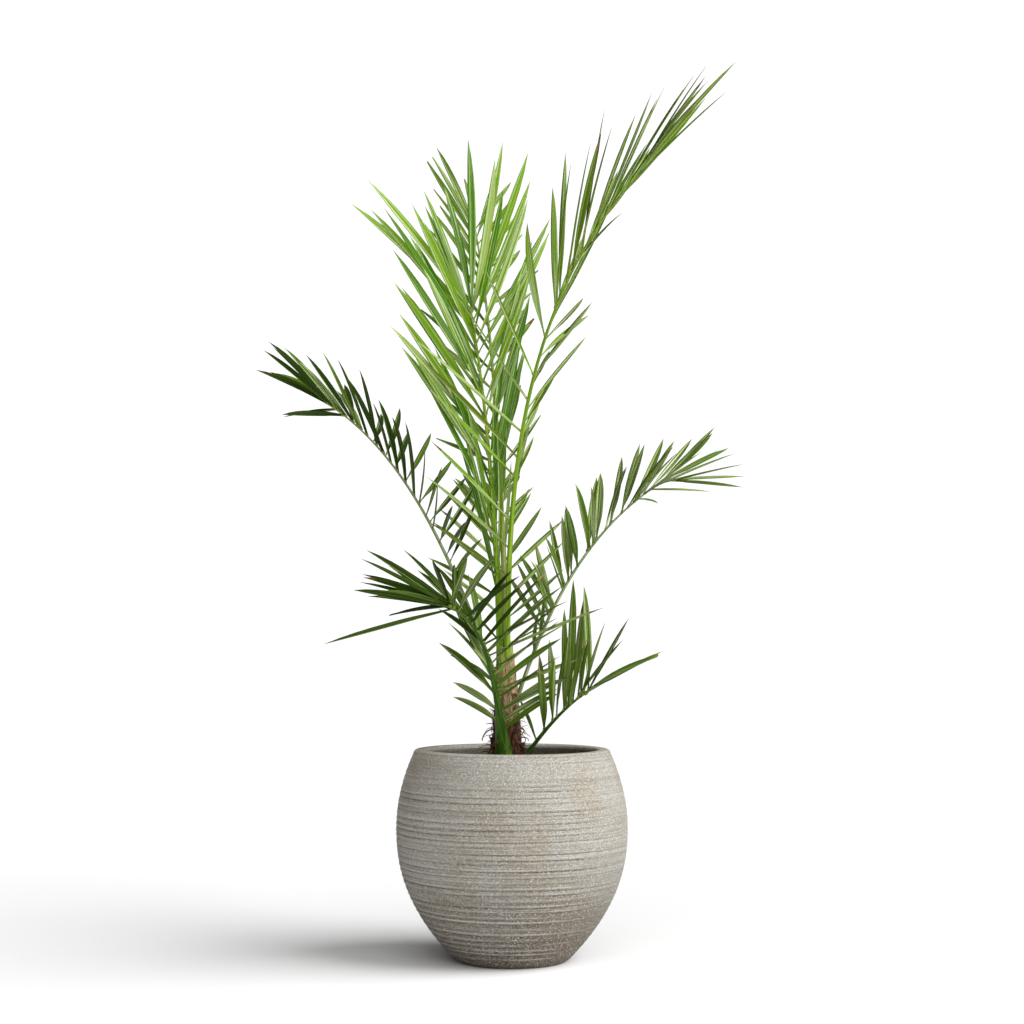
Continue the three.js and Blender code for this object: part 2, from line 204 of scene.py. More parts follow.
def finish_piece(
    name: str, mesh: Mesh, materials: Sequence[Material], nodes: Sequence[str], smooth: bool = True
) -> Piece:
    """Turns a mesh into a piece of the palm that rides on the body and replaces CAD nodes.

    Args:
        name: The piece's name.
        mesh: Its shape in metres, which is freed.
        materials: Its materials in the order of their indices.
        nodes: The CAD nodes that it stands for, alone or with other pieces.
        smooth: Whether its faces are shaded smooth.

    Returns:
        The new object.
    """
    for face in mesh.faces:
        face.smooth = smooth
    data = bpy.data.meshes.new(name)
    mesh.to_mesh(data)
    mesh.free()
    piece = bpy.data.objects.new(name, data)
    bpy.context.scene.collection.objects.link(piece)
    for material in materials:
        data.materials.append(material)
    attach(piece, BODY)
    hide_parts(*nodes)
    data.calc_loop_triangles()
    LOG.info("%s: %d triangles", name, len(data.loop_triangles))
    return piece


# Materials


class Graph:
    """A node tree that is filled node by node."""

    def __init__(self, tree: bpy.types.NodeTree) -> None:
        """Starts with an empty tree."""
        self.tree = tree
        tree.nodes.clear()

    def fill(self, socket: Socket, value: Value) -> None:
        """Links a socket to an input, or sets the input to a number, a vector or a colour."""
        if isinstance(value, bpy.types.NodeSocket):
            self.tree.links.new(value, socket)
        elif socket.type == "RGBA":
            socket.default_value = (*value[:3], 1.0)
        else:
            socket.default_value = value

    def add(self, kind: str, values: dict[str | int, Value] | None = None, **settings: object) -> Node:
        """Adds a node.

        Args:
            kind: The node's type, without ShaderNode in front.
            values: A number, colour or socket for each input that is set.
            settings: The node's own settings.

        Returns:
            The new node.
        """
        node = self.tree.nodes.new("ShaderNode" + kind)
        for name, value in settings.items():
            setattr(node, name, value)
        for key, value in (values or {}).items():
            self.fill(node.inputs[key], value)
        return node

    def math(self, operation: str, first: Value, second: Value = 0.0) -> Socket:
        """Adds a Math node and returns its result."""
        return self.add("Math", {0: first, 1: second}, operation=operation).outputs[0]

    def ramp(self, value: Value, low: Value, high: Value, bottom: float = 0.0, top: float = 1.0) -> Socket:
        """Adds a soft step from bottom to top as value goes from low to high, and returns its result."""
        values = {"Value": value, "From Min": low, "From Max": high, "To Min": bottom, "To Max": top}
        return self.add("MapRange", values, interpolation_type="SMOOTHSTEP").outputs[0]

    def blend(self, share: Value, first: Value, second: Value) -> Socket:
        """Adds a Mix node for colours and returns its result."""
        return self.add("Mix", {0: share, 6: first, 7: second}, data_type="RGBA").outputs[2]

    def cloud(self, vector: Value, scale: Value, detail: float = 3.0, roughness: float = 0.55) -> Socket:
        """Adds a Noise texture and returns its value."""
        values = {"Vector": vector, "Scale": scale, "Detail": detail, "Roughness": roughness}
        return self.add("TexNoise", values).outputs["Fac"]

    def split(self, vector: Value) -> Sequence[Socket]:
        """Adds a Separate XYZ node and returns its three results."""
        return self.add("SeparateXYZ", {0: vector}).outputs

    def join(self, x: Value, y: Value, z: Value) -> Socket:
        """Adds a Combine XYZ node and returns its result."""
        return self.add("CombineXYZ", {0: x, 1: y, 2: z}).outputs[0]

    def stretch(self, vector: Value, scale: Sequence[float]) -> Socket:
        """Adds a Mapping node that only scales, and returns its vector."""
        return self.add("Mapping", {"Vector": vector, "Scale": tuple(scale)}).outputs[0]

    def object_place(self) -> Socket:
        """Returns the object coordinates of the shaded point."""
        return self.add("TexCoord").outputs["Object"]

    def own(self, attribute: str) -> Socket:
        """Returns a number that the piece's own attribute holds."""
        return self.add("Attribute", attribute_name=attribute).outputs["Fac"]


class Effect:
    """A shared effect: a shader node group with named inputs and outputs."""

    def __init__(self, name: str, inputs: dict[str, Value | None], outputs: dict[str, str]) -> None:
        """Makes the empty group.

        Args:
            name: The group's name.
            inputs: Each input's value: a number, a colour, or nothing for a vector.
            outputs: Each output's kind of socket.
        """
        self.tree = bpy.data.node_groups.new(name, "ShaderNodeTree")
        self.graph = Graph(self.tree)
        for key, value in inputs.items():
            kind = "Vector" if value is None else "Float" if isinstance(value, float) else "Color"
            socket = self.tree.interface.new_socket(key, in_out="INPUT", socket_type="NodeSocket" + kind)
            if value is not None:
                socket.default_value = (*value, 1.0) if kind == "Color" else value
        for key, kind in outputs.items():
            self.tree.interface.new_socket(key, in_out="OUTPUT", socket_type="NodeSocket" + kind)
        self.given = self.tree.nodes.new("NodeGroupInput").outputs
        self.result = self.tree.nodes.new("NodeGroupOutput").inputs

    def put(self, name: str, socket: Socket) -> None:
        """Links a socket to an output of the group."""
        self.tree.links.new(socket, self.result[name])

    def place(self, graph: Graph, **values: Value) -> Sequence[Socket]:
        """Places the group in a material.

        Args:
            graph: The material's graph.
            values: A value or socket for each input, with _ for each space of its name.

        Returns:
            The outputs of the group's node.
        """
        node = graph.tree.nodes.new("ShaderNodeGroup")
        node.node_tree = self.tree
        for key, value in values.items():
            graph.fill(node.inputs[key.replace("_", " ")], value)
        return node.outputs


class Effects:
    """The effects that several materials share."""

    FINE_LINES = (3.1, 1.4, 1.0)
    BROAD_SHARE = 0.65
    STREAK_SOFTNESS = 0.07
    FINER_GRAINS = 1.7
    LIGHT_GRAINS = (0.53, 0.66)
    DARK_GRAINS = (0.46, 0.33)
    GRAIN_DEPTH = 0.4

    def __init__(self) -> None:
        """Builds each group once."""
        self.streaks = self._streaks()
        self.grains = self._grains()
        self.patches = self._patches()

    def _streaks(self) -> Effect:
        """Long streaks and fine lines that run along the second direction of a vector."""
        inputs = {
            "Vector": None,
            "Colour": (0.2, 0.3, 0.1),
            "Streak": (0.4, 0.5, 0.2),
            "Across": 8.0,
            "Along": 1.0,
            "Amount": 0.5,
            "Edge": 0.5,
        }
        effect = Effect("long streaks", inputs, {"Colour": "Color", "Mask": "Float"})
        graph, given = effect.graph, effect.given
        apart = graph.split(given["Vector"])
        across = graph.math("MULTIPLY", apart[0], given["Across"])
        along = graph.math("MULTIPLY", apart[1], given["Along"])
        broad = graph.join(across, along, apart[2])
        fine = graph.add("VectorMath", {0: broad, 1: self.FINE_LINES}, operation="MULTIPLY").outputs[0]
        slow = graph.math("MULTIPLY", graph.cloud(broad, 1.0, 2.0), self.BROAD_SHARE)
        quick = graph.math("MULTIPLY", graph.cloud(fine, 1.0, 1.0), 1.0 - self.BROAD_SHARE)
        low = graph.math("SUBTRACT", given["Edge"], self.STREAK_SOFTNESS)
        high = graph.math("ADD", given["Edge"], self.STREAK_SOFTNESS)
        mask = graph.ramp(graph.math("ADD", slow, quick), low, high)
        shown = graph.math("MULTIPLY", mask, given["Amount"])
        effect.put("Colour", graph.blend(shown, given["Colour"], given["Streak"]))
        effect.put("Mask", mask)
        return effect

    def _grains(self) -> Effect:
        """Light and dark grains scattered over a colour, as in cast stone or soil."""
        inputs = {
            "Vector": None,
            "Colour": (0.4, 0.4, 0.4),
            "Light": (0.8, 0.8, 0.8),
            "Dark": (0.1, 0.1, 0.1),
            "Scale": 600.0,
            "Light amount": 0.5,
            "Dark amount": 0.5,
        }
        effect = Effect("scattered grains", inputs, {"Colour": "Color", "Height": "Float"})
        graph, given = effect.graph, effect.given
        coarse = graph.cloud(given["Vector"], given["Scale"], 2.0, 0.7)
        finer = graph.math("MULTIPLY", given["Scale"], self.FINER_GRAINS)
        fine = graph.cloud(given["Vector"], finer, 1.0, 0.6)
        light = graph.ramp(coarse, *self.LIGHT_GRAINS)
        dark = graph.ramp(fine, *self.DARK_GRAINS)
        dark_share = graph.math("MULTIPLY", dark, given["Dark amount"])
        light_share = graph.math("MULTIPLY", light, given["Light amount"])
        with_dark = graph.blend(dark_share, given["Colour"], given["Dark"])
        effect.put("Colour", graph.blend(light_share, with_dark, given["Light"]))
        effect.put("Height", graph.math("SUBTRACT", coarse, graph.math("MULTIPLY", dark, self.GRAIN_DEPTH)))
        return effect

    def _patches(self) -> Effect:
        """Slow soft patches of a second colour."""
        inputs = {
            "Vector": None,
            "Colour": (0.3, 0.3, 0.3),
            "Patch": (0.2, 0.2, 0.2),
            "Scale": 20.0,
            "Low": 0.45,
            "High": 0.65,
        }
        effect = Effect("soft patches", inputs, {"Colour": "Color"})
        graph, given = effect.graph, effect.given
        cloud = graph.cloud(given["Vector"], given["Scale"], 4.0, 0.5)
        mask = graph.ramp(cloud, given["Low"], given["High"])
        effect.put("Colour", graph.blend(mask, given["Colour"], given["Patch"]))
        return effect


def shade(
    name: str,
    roughness: float,
    specular: float,
    build: Callable[[Graph], tuple[Socket, Socket | None]],
    bump: float = 0.0,
) -> Material:
    """Makes a material of one Principled shader.

    Args:
        name: The material's name.
        roughness: The shader's roughness.
        specular: The shader's specular level.
        build: Adds the pattern and returns its colour and its height, if it has one.
        bump: How far the height stands up, in millimetres.

    Returns:
        The new material.
    """
    material = bpy.data.materials.new(name)
    material.use_nodes = True
    graph = Graph(material.node_tree)
    colour, height = build(graph)
    values = {"Base Color": colour, "Roughness": roughness, "Specular IOR Level": specular}
    shader = graph.add("BsdfPrincipled", values)
    if height is not None:
        raised = graph.add("Bump", {"Height": height, "Distance": bump * MM, "Strength": 1.0})
        graph.fill(shader.inputs["Normal"], raised.outputs[0])
    graph.add("OutputMaterial", {"Surface": shader.outputs[0]})
    return material


class Tone(Enum):
    """The plain leaf colours that are dealt out among the leaflets, by face.

    Where the two halves of a leaflet's fold take a lighter and a darker tone, these are painted light on one
    half and painted shade on the other. The pale tone paints the sheen of a glossy lit half, and the dark
    tone is a dark green that partly paints shade.
    """

    BRIGHT = "leaf_bright"
    FRESH = "leaf_fresh"
    MID = "leaf_mid"
    OLIVE = "leaf_olive"
    DARK = "leaf_dark"
    GREY = "leaf_grey"
    PALE_SHEEN = "leaf_pale"
    DRY = "leaf_dry_tan"
    BROWN = "leaf_dry_brown"


class Finish:
    """What every finish has in common: one shader over a pattern of its own."""

    roughness: float
    gloss: float
    bump: float

    def pattern(self, graph: Graph, effects: Effects) -> tuple[Socket, Socket]:
        """Adds the pattern and returns its colour and its height."""
        raise NotImplementedError

    def material(self, name: str, effects: Effects) -> Material:
        """Builds the material under a name."""
        return shade(name, self.roughness, self.gloss, lambda graph: self.pattern(graph, effects), self.bump)


@dataclass(frozen=True)
class LeafFinish(Finish):
    """The finish of a leaf blade: one plain colour with lengthwise streaks and a pale midrib.

    The pale streak colour, which the midrib takes too, stands partly for the leaf's own pale veins and partly
    for painted sheen on the glossy blade.
    """

    blade: Colour
    streak: Colour
    roughness: float = 0.45
    streaks: float = 0.9
    least_streaks: float = 0.25
    lines: float = 8.0
    along: float = 1.2
    edge: float = 0.55
    midrib: float = 0.5
    midrib_width: float = 0.035
    bump: float = 0.12
    gloss: float = 0.08

    def pattern(self, graph: Graph, effects: Effects) -> tuple[Socket, Socket]:
        """Adds the streaks and the midrib, partly painted sheen, on the leaf's own UV map and its own number.
        """
        apart = graph.split(graph.add("UVMap", uv_map="blade").outputs[0])
        number = graph.own("leaflet")
        drawn = graph.add("TexWhiteNoise", {"W": number}, noise_dimensions="1D").outputs["Value"]
        streaks = effects.streaks.place(
            graph,
            Vector=graph.join(apart[0], apart[1], number),
            Colour=self.blade,
            Streak=self.streak,
            Across=self.lines,
            Along=self.along,
            Amount=graph.math("MULTIPLY", graph.ramp(drawn, 0.0, 1.0, self.least_streaks), self.streaks),
            Edge=self.edge,
        )
        aside = graph.math("ABSOLUTE", graph.math("SUBTRACT", apart[0], 0.5))
        rib = graph.ramp(aside, self.midrib_width, 0.0, 0.0, self.midrib)
        return graph.blend(rib, streaks["Colour"], self.streak), streaks["Mask"]


LEAVES = {
    Tone.BRIGHT: LeafFinish((0.16, 0.31, 0.003), (0.7, 0.82, 0.46)),
    Tone.FRESH: LeafFinish((0.06, 0.175, 0.001), (0.54, 0.69, 0.3)),
    Tone.MID: LeafFinish((0.08, 0.155, 0.004), (0.38, 0.49, 0.19), 0.5),
    Tone.OLIVE: LeafFinish((0.1, 0.16, 0.005), (0.38, 0.47, 0.15), 0.5),
    Tone.DARK: LeafFinish((0.018, 0.042, 0.001), (0.09, 0.14, 0.022), 0.5),
    Tone.GREY: LeafFinish((0.1, 0.155, 0.02), (0.42, 0.5, 0.27), 0.5),
    Tone.PALE_SHEEN: LeafFinish((0.28, 0.39, 0.08), (0.75, 0.83, 0.56)),
    Tone.DRY: LeafFinish((0.3, 0.2, 0.09), (0.5, 0.38, 0.22), 0.7, midrib=0.0),
    Tone.BROWN: LeafFinish((0.11, 0.055, 0.02), (0.22, 0.13, 0.06), 0.75, midrib=0.0),
}


@dataclass(frozen=True)
class StemFinish(Finish):
    """The finish of a stalk and rib: green with long pale streaks."""

    colour: Colour
    streak: Colour
    roughness: float = 0.4
    amount: float = 0.6
    lines: float = 9.0
    along: float = 7.0
    edge: float = 0.5
    bump: float = 0.15
    gloss: float = 0.1

    def pattern(self, graph: Graph, effects: Effects) -> tuple[Socket, Socket]:
        """Adds the streaks, on the stem's own UV map."""
        streaks = effects.streaks.place(
            graph,
            Vector=graph.add("UVMap", uv_map="stem").outputs[0],
            Colour=self.colour,
            Streak=self.streak,
            Across=self.lines,
            Along=self.along,
            Amount=self.amount,
            Edge=self.edge,
        )
        return streaks["Colour"], streaks["Mask"]


STEMS = {
    "stem_bright": StemFinish((0.095, 0.22, 0.001), (0.33, 0.45, 0.05)),
    "stem_mid": StemFinish((0.11, 0.18, 0.004), (0.34, 0.4, 0.1)),
    "stem_dark": StemFinish((0.025, 0.08, 0.004), (0.1, 0.2, 0.02)),
    "stem_grey": StemFinish((0.13, 0.19, 0.06), (0.45, 0.5, 0.33)),
    "leaflet_joint": StemFinish((0.16, 0.22, 0.02), (0.34, 0.4, 0.1), 0.5),
}


@dataclass(frozen=True)
class FibreFinish(Finish):
    """The finish of trunk, husk and fibre: two colours in upright streaks, with patches of a third."""

    dark: Colour
    light: Colour
    patch: Colour
    patch_scale: float = 28.0
    patch_low: float = 0.55
    patch_high: float = 0.68
    streak_scale: float = 420.0
    streak_detail: float = 4.0
    streak_roughness: float = 0.65
    streak_low: float = 0.4
    streak_high: float = 0.6
    upright: float = 0.09
    roughness: float = 0.85
    bump: float = 0.6
    gloss: float = 0.3

    def pattern(self, graph: Graph, effects: Effects) -> tuple[Socket, Socket]:
        """Adds the streaks and the patches, on object coordinates."""
        place = graph.object_place()
        drawn_out = graph.stretch(place, (1.0, 1.0, self.upright))
        line = graph.cloud(drawn_out, self.streak_scale, self.streak_detail, self.streak_roughness)
        mask = graph.ramp(line, self.streak_low, self.streak_high)
        patched = effects.patches.place(
            graph,
            Vector=place,
            Colour=graph.blend(mask, self.dark, self.light),
            Patch=self.patch,
            Scale=self.patch_scale,
            Low=self.patch_low,
            High=self.patch_high,
        )
        return patched["Colour"], line


FIBRES = {
    "trunk_fibre": FibreFinish((0.03, 0.012, 0.006), (0.15, 0.06, 0.03), (0.008, 0.005, 0.004)),
    "leaf_sheath": FibreFinish((0.15, 0.075, 0.035), (0.46, 0.3, 0.2), (0.14, 0.21, 0.03), 170.0, 0.54, 0.6),
    "old_husk": FibreFinish((0.04, 0.015, 0.007), (0.2, 0.085, 0.04), (0.01, 0.006, 0.004), 90.0, 0.48, 0.6),
    "green_sheath": FibreFinish((0.12, 0.21, 0.015), (0.36, 0.44, 0.1), (0.36, 0.22, 0.12), 90.0, 0.56, 0.62),
    "strand": FibreFinish((0.05, 0.016, 0.008), (0.2, 0.075, 0.035), (0.02, 0.01, 0.006), 60.0),
    "spear_straw": FibreFinish(
        (0.3, 0.26, 0.07), (0.6, 0.5, 0.26), (0.3, 0.18, 0.08), 40.0, 0.6, 0.75,
        streak_scale=500.0, upright=0.05, roughness=0.6, bump=0.2,
    ),
}


@dataclass(frozen=True)
class StoneFinish(Finish):
    """The finish of the planter: warm grey cast stone with level lines and grains, painted shade in its
    grooves, painted highlight on its ridges and a painted shade that darkens and browns it towards the foot.

    A fade runs from where it starts to where it is full, and then has its full amount.
    """

    colour: Colour = (0.36, 0.342, 0.3)
    warm: Colour = (0.32, 0.28, 0.215)
    # The colour of the painted shade towards the foot.
    foot: Colour = (0.09, 0.064, 0.038)
    # The colours of the painted shade in the grooves and fine dark lines, and of the painted highlight on the
    # ridges and fine light lines.
    groove: Colour = (0.09, 0.07, 0.05)
    ridge: Colour = (0.54, 0.53, 0.5)
    light: Colour = (0.7, 0.69, 0.65)
    dark: Colour = (0.05, 0.043, 0.035)
    warm_scale: float = 9.0
    warm_low: float = 0.4
    warm_high: float = 0.65
    # Fade of the painted shade towards the foot, by height in metres.
    foot_shade_fade: Pair = (0.2, -0.02)
    # Fades of the painted shade in the grooves and the painted highlight on the ridges, by the relief's
    # depth, and of the painted shade and highlight of the fine lines.
    groove_shade_fade: tuple[float, float, float] = (0.12, 0.85, 0.95)
    ridge_highlight_fade: tuple[float, float, float] = (-0.1, -0.5, 0.65)
    line_shade_fade: tuple[float, float, float] = (0.48, 0.34, 0.3)
    line_highlight_fade: tuple[float, float, float] = (0.52, 0.66, 0.25)
    round_scale: float = 1.4
    level_scale: float = 480.0
    line_height: float = 1.5
    grain_scale: float = 560.0
    light_grains: float = 0.7
    dark_grains: float = 0.9
    roughness: float = 0.85
    bump: float = 0.45
    gloss: float = 0.2

    def pattern(self, graph: Graph, effects: Effects) -> tuple[Socket, Socket]:
        """Adds the patches, the painted shade towards the foot, the grooves' tints of painted shade and
        highlight, the fine level lines with their painted shade and highlight, and the grains.

        They lie on object coordinates, and the tints on the relief's own attribute.
        """

        def tint(value: Socket, fade: Sequence[float], ground: Socket, colour: Colour) -> Socket:
            """Blends a colour into the ground where a value passes through a fade."""
            start, full, amount = fade
            return graph.blend(graph.ramp(value, start, full, 0.0, amount), ground, colour)

        place = graph.object_place()
        ground = effects.patches.place(
            graph,
            Vector=place,
            Colour=self.colour,
            Patch=self.warm,
            Scale=self.warm_scale,
            Low=self.warm_low,
            High=self.warm_high,
        )["Colour"]
        # Painted shade: darker and browner from about the belly down to the foot.
        ground = tint(graph.split(place)[2], (*self.foot_shade_fade, 1.0), ground, self.foot)
        relief = graph.own("relief")
        # Painted shade in the grooves and painted highlight on the ridges, by the depth of the relief.
        ground = tint(relief, self.groove_shade_fade, ground, self.groove)
        ground = tint(relief, self.ridge_highlight_fade, ground, self.ridge)
        drawn_out = graph.stretch(place, (self.round_scale, self.round_scale, self.level_scale))
        lines = graph.cloud(drawn_out, 1.0, 2.0)
        # Fine level lines: painted shade in the dark ones and painted highlight in the light ones, which also
        # raise the bump.
        ground = tint(lines, self.line_shade_fade, ground, self.groove)
        ground = tint(lines, self.line_highlight_fade, ground, self.ridge)
        grains = effects.grains.place(
            graph,
            Vector=place,
            Colour=ground,
            Light=self.light,
            Dark=self.dark,
            Scale=self.grain_scale,
            Light_amount=self.light_grains,
            Dark_amount=self.dark_grains,
        )
        raised = graph.math("ADD", grains["Height"], graph.math("MULTIPLY", lines, self.line_height))
        return grains["Colour"], raised


@dataclass(frozen=True)
class SoilFinish(Finish):
    """The finish of compost: one colour with lighter and darker crumbs."""

    colour: Colour
    light: Colour
    dark: Colour
    scale: float = 260.0
    light_grains: float = 0.5
    dark_grains: float = 0.8
    roughness: float = 0.95
    bump: float = 0.8
    gloss: float = 0.2

    def pattern(self, graph: Graph, effects: Effects) -> tuple[Socket, Socket]:
        """Adds the grains, on object coordinates."""
        grains = effects.grains.place(
            graph,
            Vector=graph.object_place(),
            Colour=self.colour,
            Light=self.light,
            Dark=self.dark,
            Scale=self.scale,
            Light_amount=self.light_grains,
            Dark_amount=self.dark_grains,
        )
        return grains["Colour"], grains["Height"]


GROUNDS = {
    "pot_stone": StoneFinish(),
    "potting_soil": SoilFinish((0.03, 0.02, 0.013), (0.09, 0.06, 0.04), (0.008, 0.006, 0.005)),
    "bark_chip": SoilFinish((0.09, 0.05, 0.028), (0.2, 0.13, 0.08), (0.03, 0.017, 0.01), 400.0),
}


class Palette:
    """Every material of the palm, built once and found by its name."""

    def __init__(self, effects: Effects) -> None:
        """Builds the materials."""
        self.tones = list(LEAVES)
        leaves = {tone.value: finish for tone, finish in LEAVES.items()}
        finishes = leaves | STEMS | FIBRES | GROUNDS
        self.materials = {name: finish.material(name, effects) for name, finish in finishes.items()}

    def pick(self, *names: str) -> list[Material]:
        """Returns some materials in order."""
        return [self.materials[name] for name in names]


# The planter and its soil


@dataclass
class Planter:
    """The round-bellied stone planter, turned from its outline and grooved."""

    height: float = 313.0
    rim_radius: float = 146.0
    belly_radius: float = 174.0
    belly_height: float = 196.0
    foot_radius: float = 84.0
    foot_power: float = 2.2
    neck_power: float = 2.0
    wall: float = 18.0
    floor: float = 22.0
    lip: float = 6.0
    foot_round: float = 3.0
    side_from: float = 4.0
    level: float = 1.6
    inner_levels: int = 26
    turns: int = 176
    seed: float = 3.0
    groove_first: float = 7.0
    groove_last: float = 300.0
    groove_apart: float = 8.6
    groove_jitter: float = 1.8
    groove_depth: float = 1.4
    groove_half_width: float = 1.1
    groove_reach: float = 8.0
    groove_wander: float = 0.7
    ridge_above: float = 2.8
    ridge_half_width: float = 1.8
    ridge_depth: float = 0.5
    comb_depth: float = 0.22
    comb_apart: float = 1.9
    wave_depth: float = 0.1
    wave_apart: float = 9.0
    neck_from: float = 262.0
    neck_over: float = 30.0
    neck_calm: float = 0.55
    right_calm: float = 0.5
    relief_from: float = 5.0
    grooves: list[float] = field(init=False)

    def __post_init__(self) -> None:
        """Spaces the grooves unevenly."""
        count = round((self.groove_last - self.groove_first) / self.groove_apart)
        self.grooves = []
        for number in range(count):
            even = mix(self.groove_first, self.groove_last, (number + 0.5) / count)
            self.grooves.append(even + self.groove_jitter * Draw(self.seed, number).swing(1))

    def radius(self, height: float) -> float:
        """Returns the outer radius at a height, as the source has it."""
        if height < self.belly_height:
            down = (self.belly_height - height) / self.belly_height
            return self.belly_radius - (self.belly_radius - self.foot_radius) * down**self.foot_power
        up = (height - self.belly_height) / (self.height - self.belly_height)
        return self.belly_radius - (self.belly_radius - self.rim_radius) * up**self.neck_power

    def inner_radius(self, height: float) -> float:
        """Returns the inner radius at a height."""
        return self.radius(height) - self.wall

    def _outline(self) -> list[Pair]:
        """Returns radius and height of the outline, from the foot's centre to the inner floor's centre."""
        shoulder = self.height - self.lip
        points = [(0.0, 0.0), (self.foot_radius * 0.6, 0.0)]
        foot = self.foot_radius - self.foot_round
        for step in range(4):
            turn = math.radians(-90.0 + 22.0 * step)
            points.append((foot + self.foot_round * math.cos(turn), self.foot_round * (1.0 + math.sin(turn))))
        steps = round((shoulder - self.side_from) / self.level)
        sides = [mix(self.side_from, shoulder, step / steps) for step in range(steps + 1)]
        points += [(self.radius(height), height) for height in sides]
        outer = self.radius(shoulder) - self.lip
        inner = self.rim_radius - self.wall + self.lip
        arc = [(outer, 15.0 * step) for step in range(1, 7)]
        arc += [(inner, 90.0 + 15.0 * step) for step in range(7)]
        for centre, degrees in arc:
            turn = math.radians(degrees)
            points.append((centre + self.lip * math.cos(turn), shoulder + self.lip * math.sin(turn)))
        below = shoulder - self.relief_from
        depths = [mix(below, self.floor, step / self.inner_levels) for step in range(self.inner_levels + 1)]
        points += [(self.inner_radius(height), height) for height in depths]
        points += [(self.inner_radius(self.floor) * 0.5, self.floor), (0.0, self.floor)]
        return points

    def _relief(self, height: float, angle: float) -> float:
        """Returns the depth of the outside's grooves at a place, about -0.5 at a ridge to 1 in a groove."""
        x, y = math.cos(angle), math.sin(angle)
        deep = 0.0
        for number, at in enumerate(self.grooves):
            if abs(height - at) > self.groove_reach:
                continue
            line = at + self.groove_wander * rough(x * 0.9, y * 0.9, number * 3.7)
            strength = 0.9 + 0.5 * rough(x * 2.2 + 9.0, y * 2.2, number * 5.3)
            strength = min(max(strength, 0.4), 1.1) * Draw(self.seed, number).between(2, 0.65, 1.0)
            away = (height - line) / self.groove_half_width
            above = (height - line - self.ridge_above) / self.ridge_half_width
            deep += strength * (math.exp(-away * away) - self.ridge_depth * math.exp(-above * above))
        comb = self.comb_depth * rough(x * 1.2, y * 1.2, height / self.comb_apart)
        wave = self.wave_depth * rough(x * 4.0, y * 4.0, height / self.wave_apart)
        fade = 1.0 - self.neck_calm * ease((height - self.neck_from) / self.neck_over)
        # Calmer grooves on the right, the side towards the light, also leave less of their painted shade and
        # highlight there.
        fade *= 1.0 - self.right_calm * ease(2.2 * x - 0.9)
        return (deep + comb + wave) * fade

    def build(self, palette: Palette) -> None:
        """Turns the outline, cuts the grooves and dresses the planter."""
        mesh = turned_shape(self._outline(), self.turns)
        layer = mesh.verts.layers.float.new("relief")
        for vert in mesh.verts:
            height = vert.co.z / MM
            radius = math.hypot(vert.co.x, vert.co.y) / MM
            inside = radius < self.radius(height) - 1.0
            if inside or not self.relief_from <= height <= self.height - self.lip:
                continue
            depth = self._relief(height, math.atan2(vert.co.y, vert.co.x))
            # The depth is kept for the finish, which paints shade in the grooves and highlight on the ridges
            # from it.
            vert[layer] = depth
            scale = 1.0 - self.groove_depth * depth / radius
            vert.co.x *= scale
            vert.co.y *= scale
        finish_piece("stone_pot", mesh, palette.pick("pot_stone"), ["pot"])


@dataclass
class Soil:
    """The compost in the planter: a bumpy surface with crumbs and chips on it."""

    planter: Planter
    top: float = 273.0
    edge: float = 267.0
    flat_radius: float = 46.0
    depth: float = 40.0
    gap: float = 0.6
    rings: int = 26
    turns: int = 96
    bump: float = 2.2
    crumbs: int = 420
    crumb_seed: float = 11.0
    crumb_edge: float = 4.0
    smallest: float = 1.2
    largest: float = 4.4
    chip_every: int = 4

    def _level(self, x: float, y: float) -> float:
        """Returns the height of the surface at a place."""
        outer = self.planter.inner_radius(self.edge)
        slope = max(0.0, (math.hypot(x, y) - self.flat_radius) / (outer - self.flat_radius))
        lumps = rough(x / 16.0, y / 16.0, 2.0) + 0.5 * rough(x / 6.0, y / 6.0, 5.0)
        return mix(self.top, self.edge, slope) + self.bump * lumps

    def _crumb(self, number: int, reach: float) -> Mesh:
        """Makes one crumb and lays it within a reach of the planter's axis."""
        draw = Draw(self.crumb_seed, number)
        radius = reach * math.sqrt(draw.share(1))
        angle = math.pi * draw.swing(2)
        size = draw.between(3, self.smallest, self.largest, 2.0)
        crumb = bmesh.new()
        bmesh.ops.create_icosphere(crumb, subdivisions=1, radius=size * MM)
        shape = (draw.between(5, 1.0, 1.7), 1.0, draw.between(4, 0.45, 0.95))
        bmesh.ops.scale(crumb, vec=shape, verts=crumb.verts)
        turn = Quaternion(UP, angle * 5.0).to_matrix()
        bmesh.ops.rotate(crumb, cent=(0.0, 0.0, 0.0), matrix=turn, verts=crumb.verts)
        x, y = radius * math.cos(angle), radius * math.sin(angle)
        bmesh.ops.translate(crumb, vec=Vector((x, y, self._level(x, y) + 0.2 * size)) * MM, verts=crumb.verts)
        return crumb

    def build(self, palette: Palette) -> None:
        """Turns the body of the soil, raises its lumps and scatters its crumbs."""
        outer = self.planter.inner_radius(self.edge) - self.gap
        low = self.edge - self.depth
        outline = [(0.0, low), (self.planter.inner_radius(low) - self.gap, low)]
        outline += [(outer * (1.0 - step / self.rings), self.edge) for step in range(self.rings + 1)]
        mesh = turned_shape(outline, self.turns)
        for vert in mesh.verts:
            if vert.co.z > (self.edge - 1.0) * MM:
                vert.co.z = self._level(vert.co.x / MM, vert.co.y / MM) * MM
        for number in range(self.crumbs):
            append(mesh, self._crumb(number, outer - self.crumb_edge), int(number % self.chip_every == 0))
        materials = palette.pick("potting_soil", "bark_chip")
        finish_piece("potting_soil", mesh, materials, ["soil"], smooth=False)


# The trunk, its old leaf bases and the spear leaf


class Wrap(Enum):
    """What a strap round the trunk is made of."""

    SHEATH = "leaf_sheath"
    HUSK = "old_husk"
    GREEN = "green_sheath"


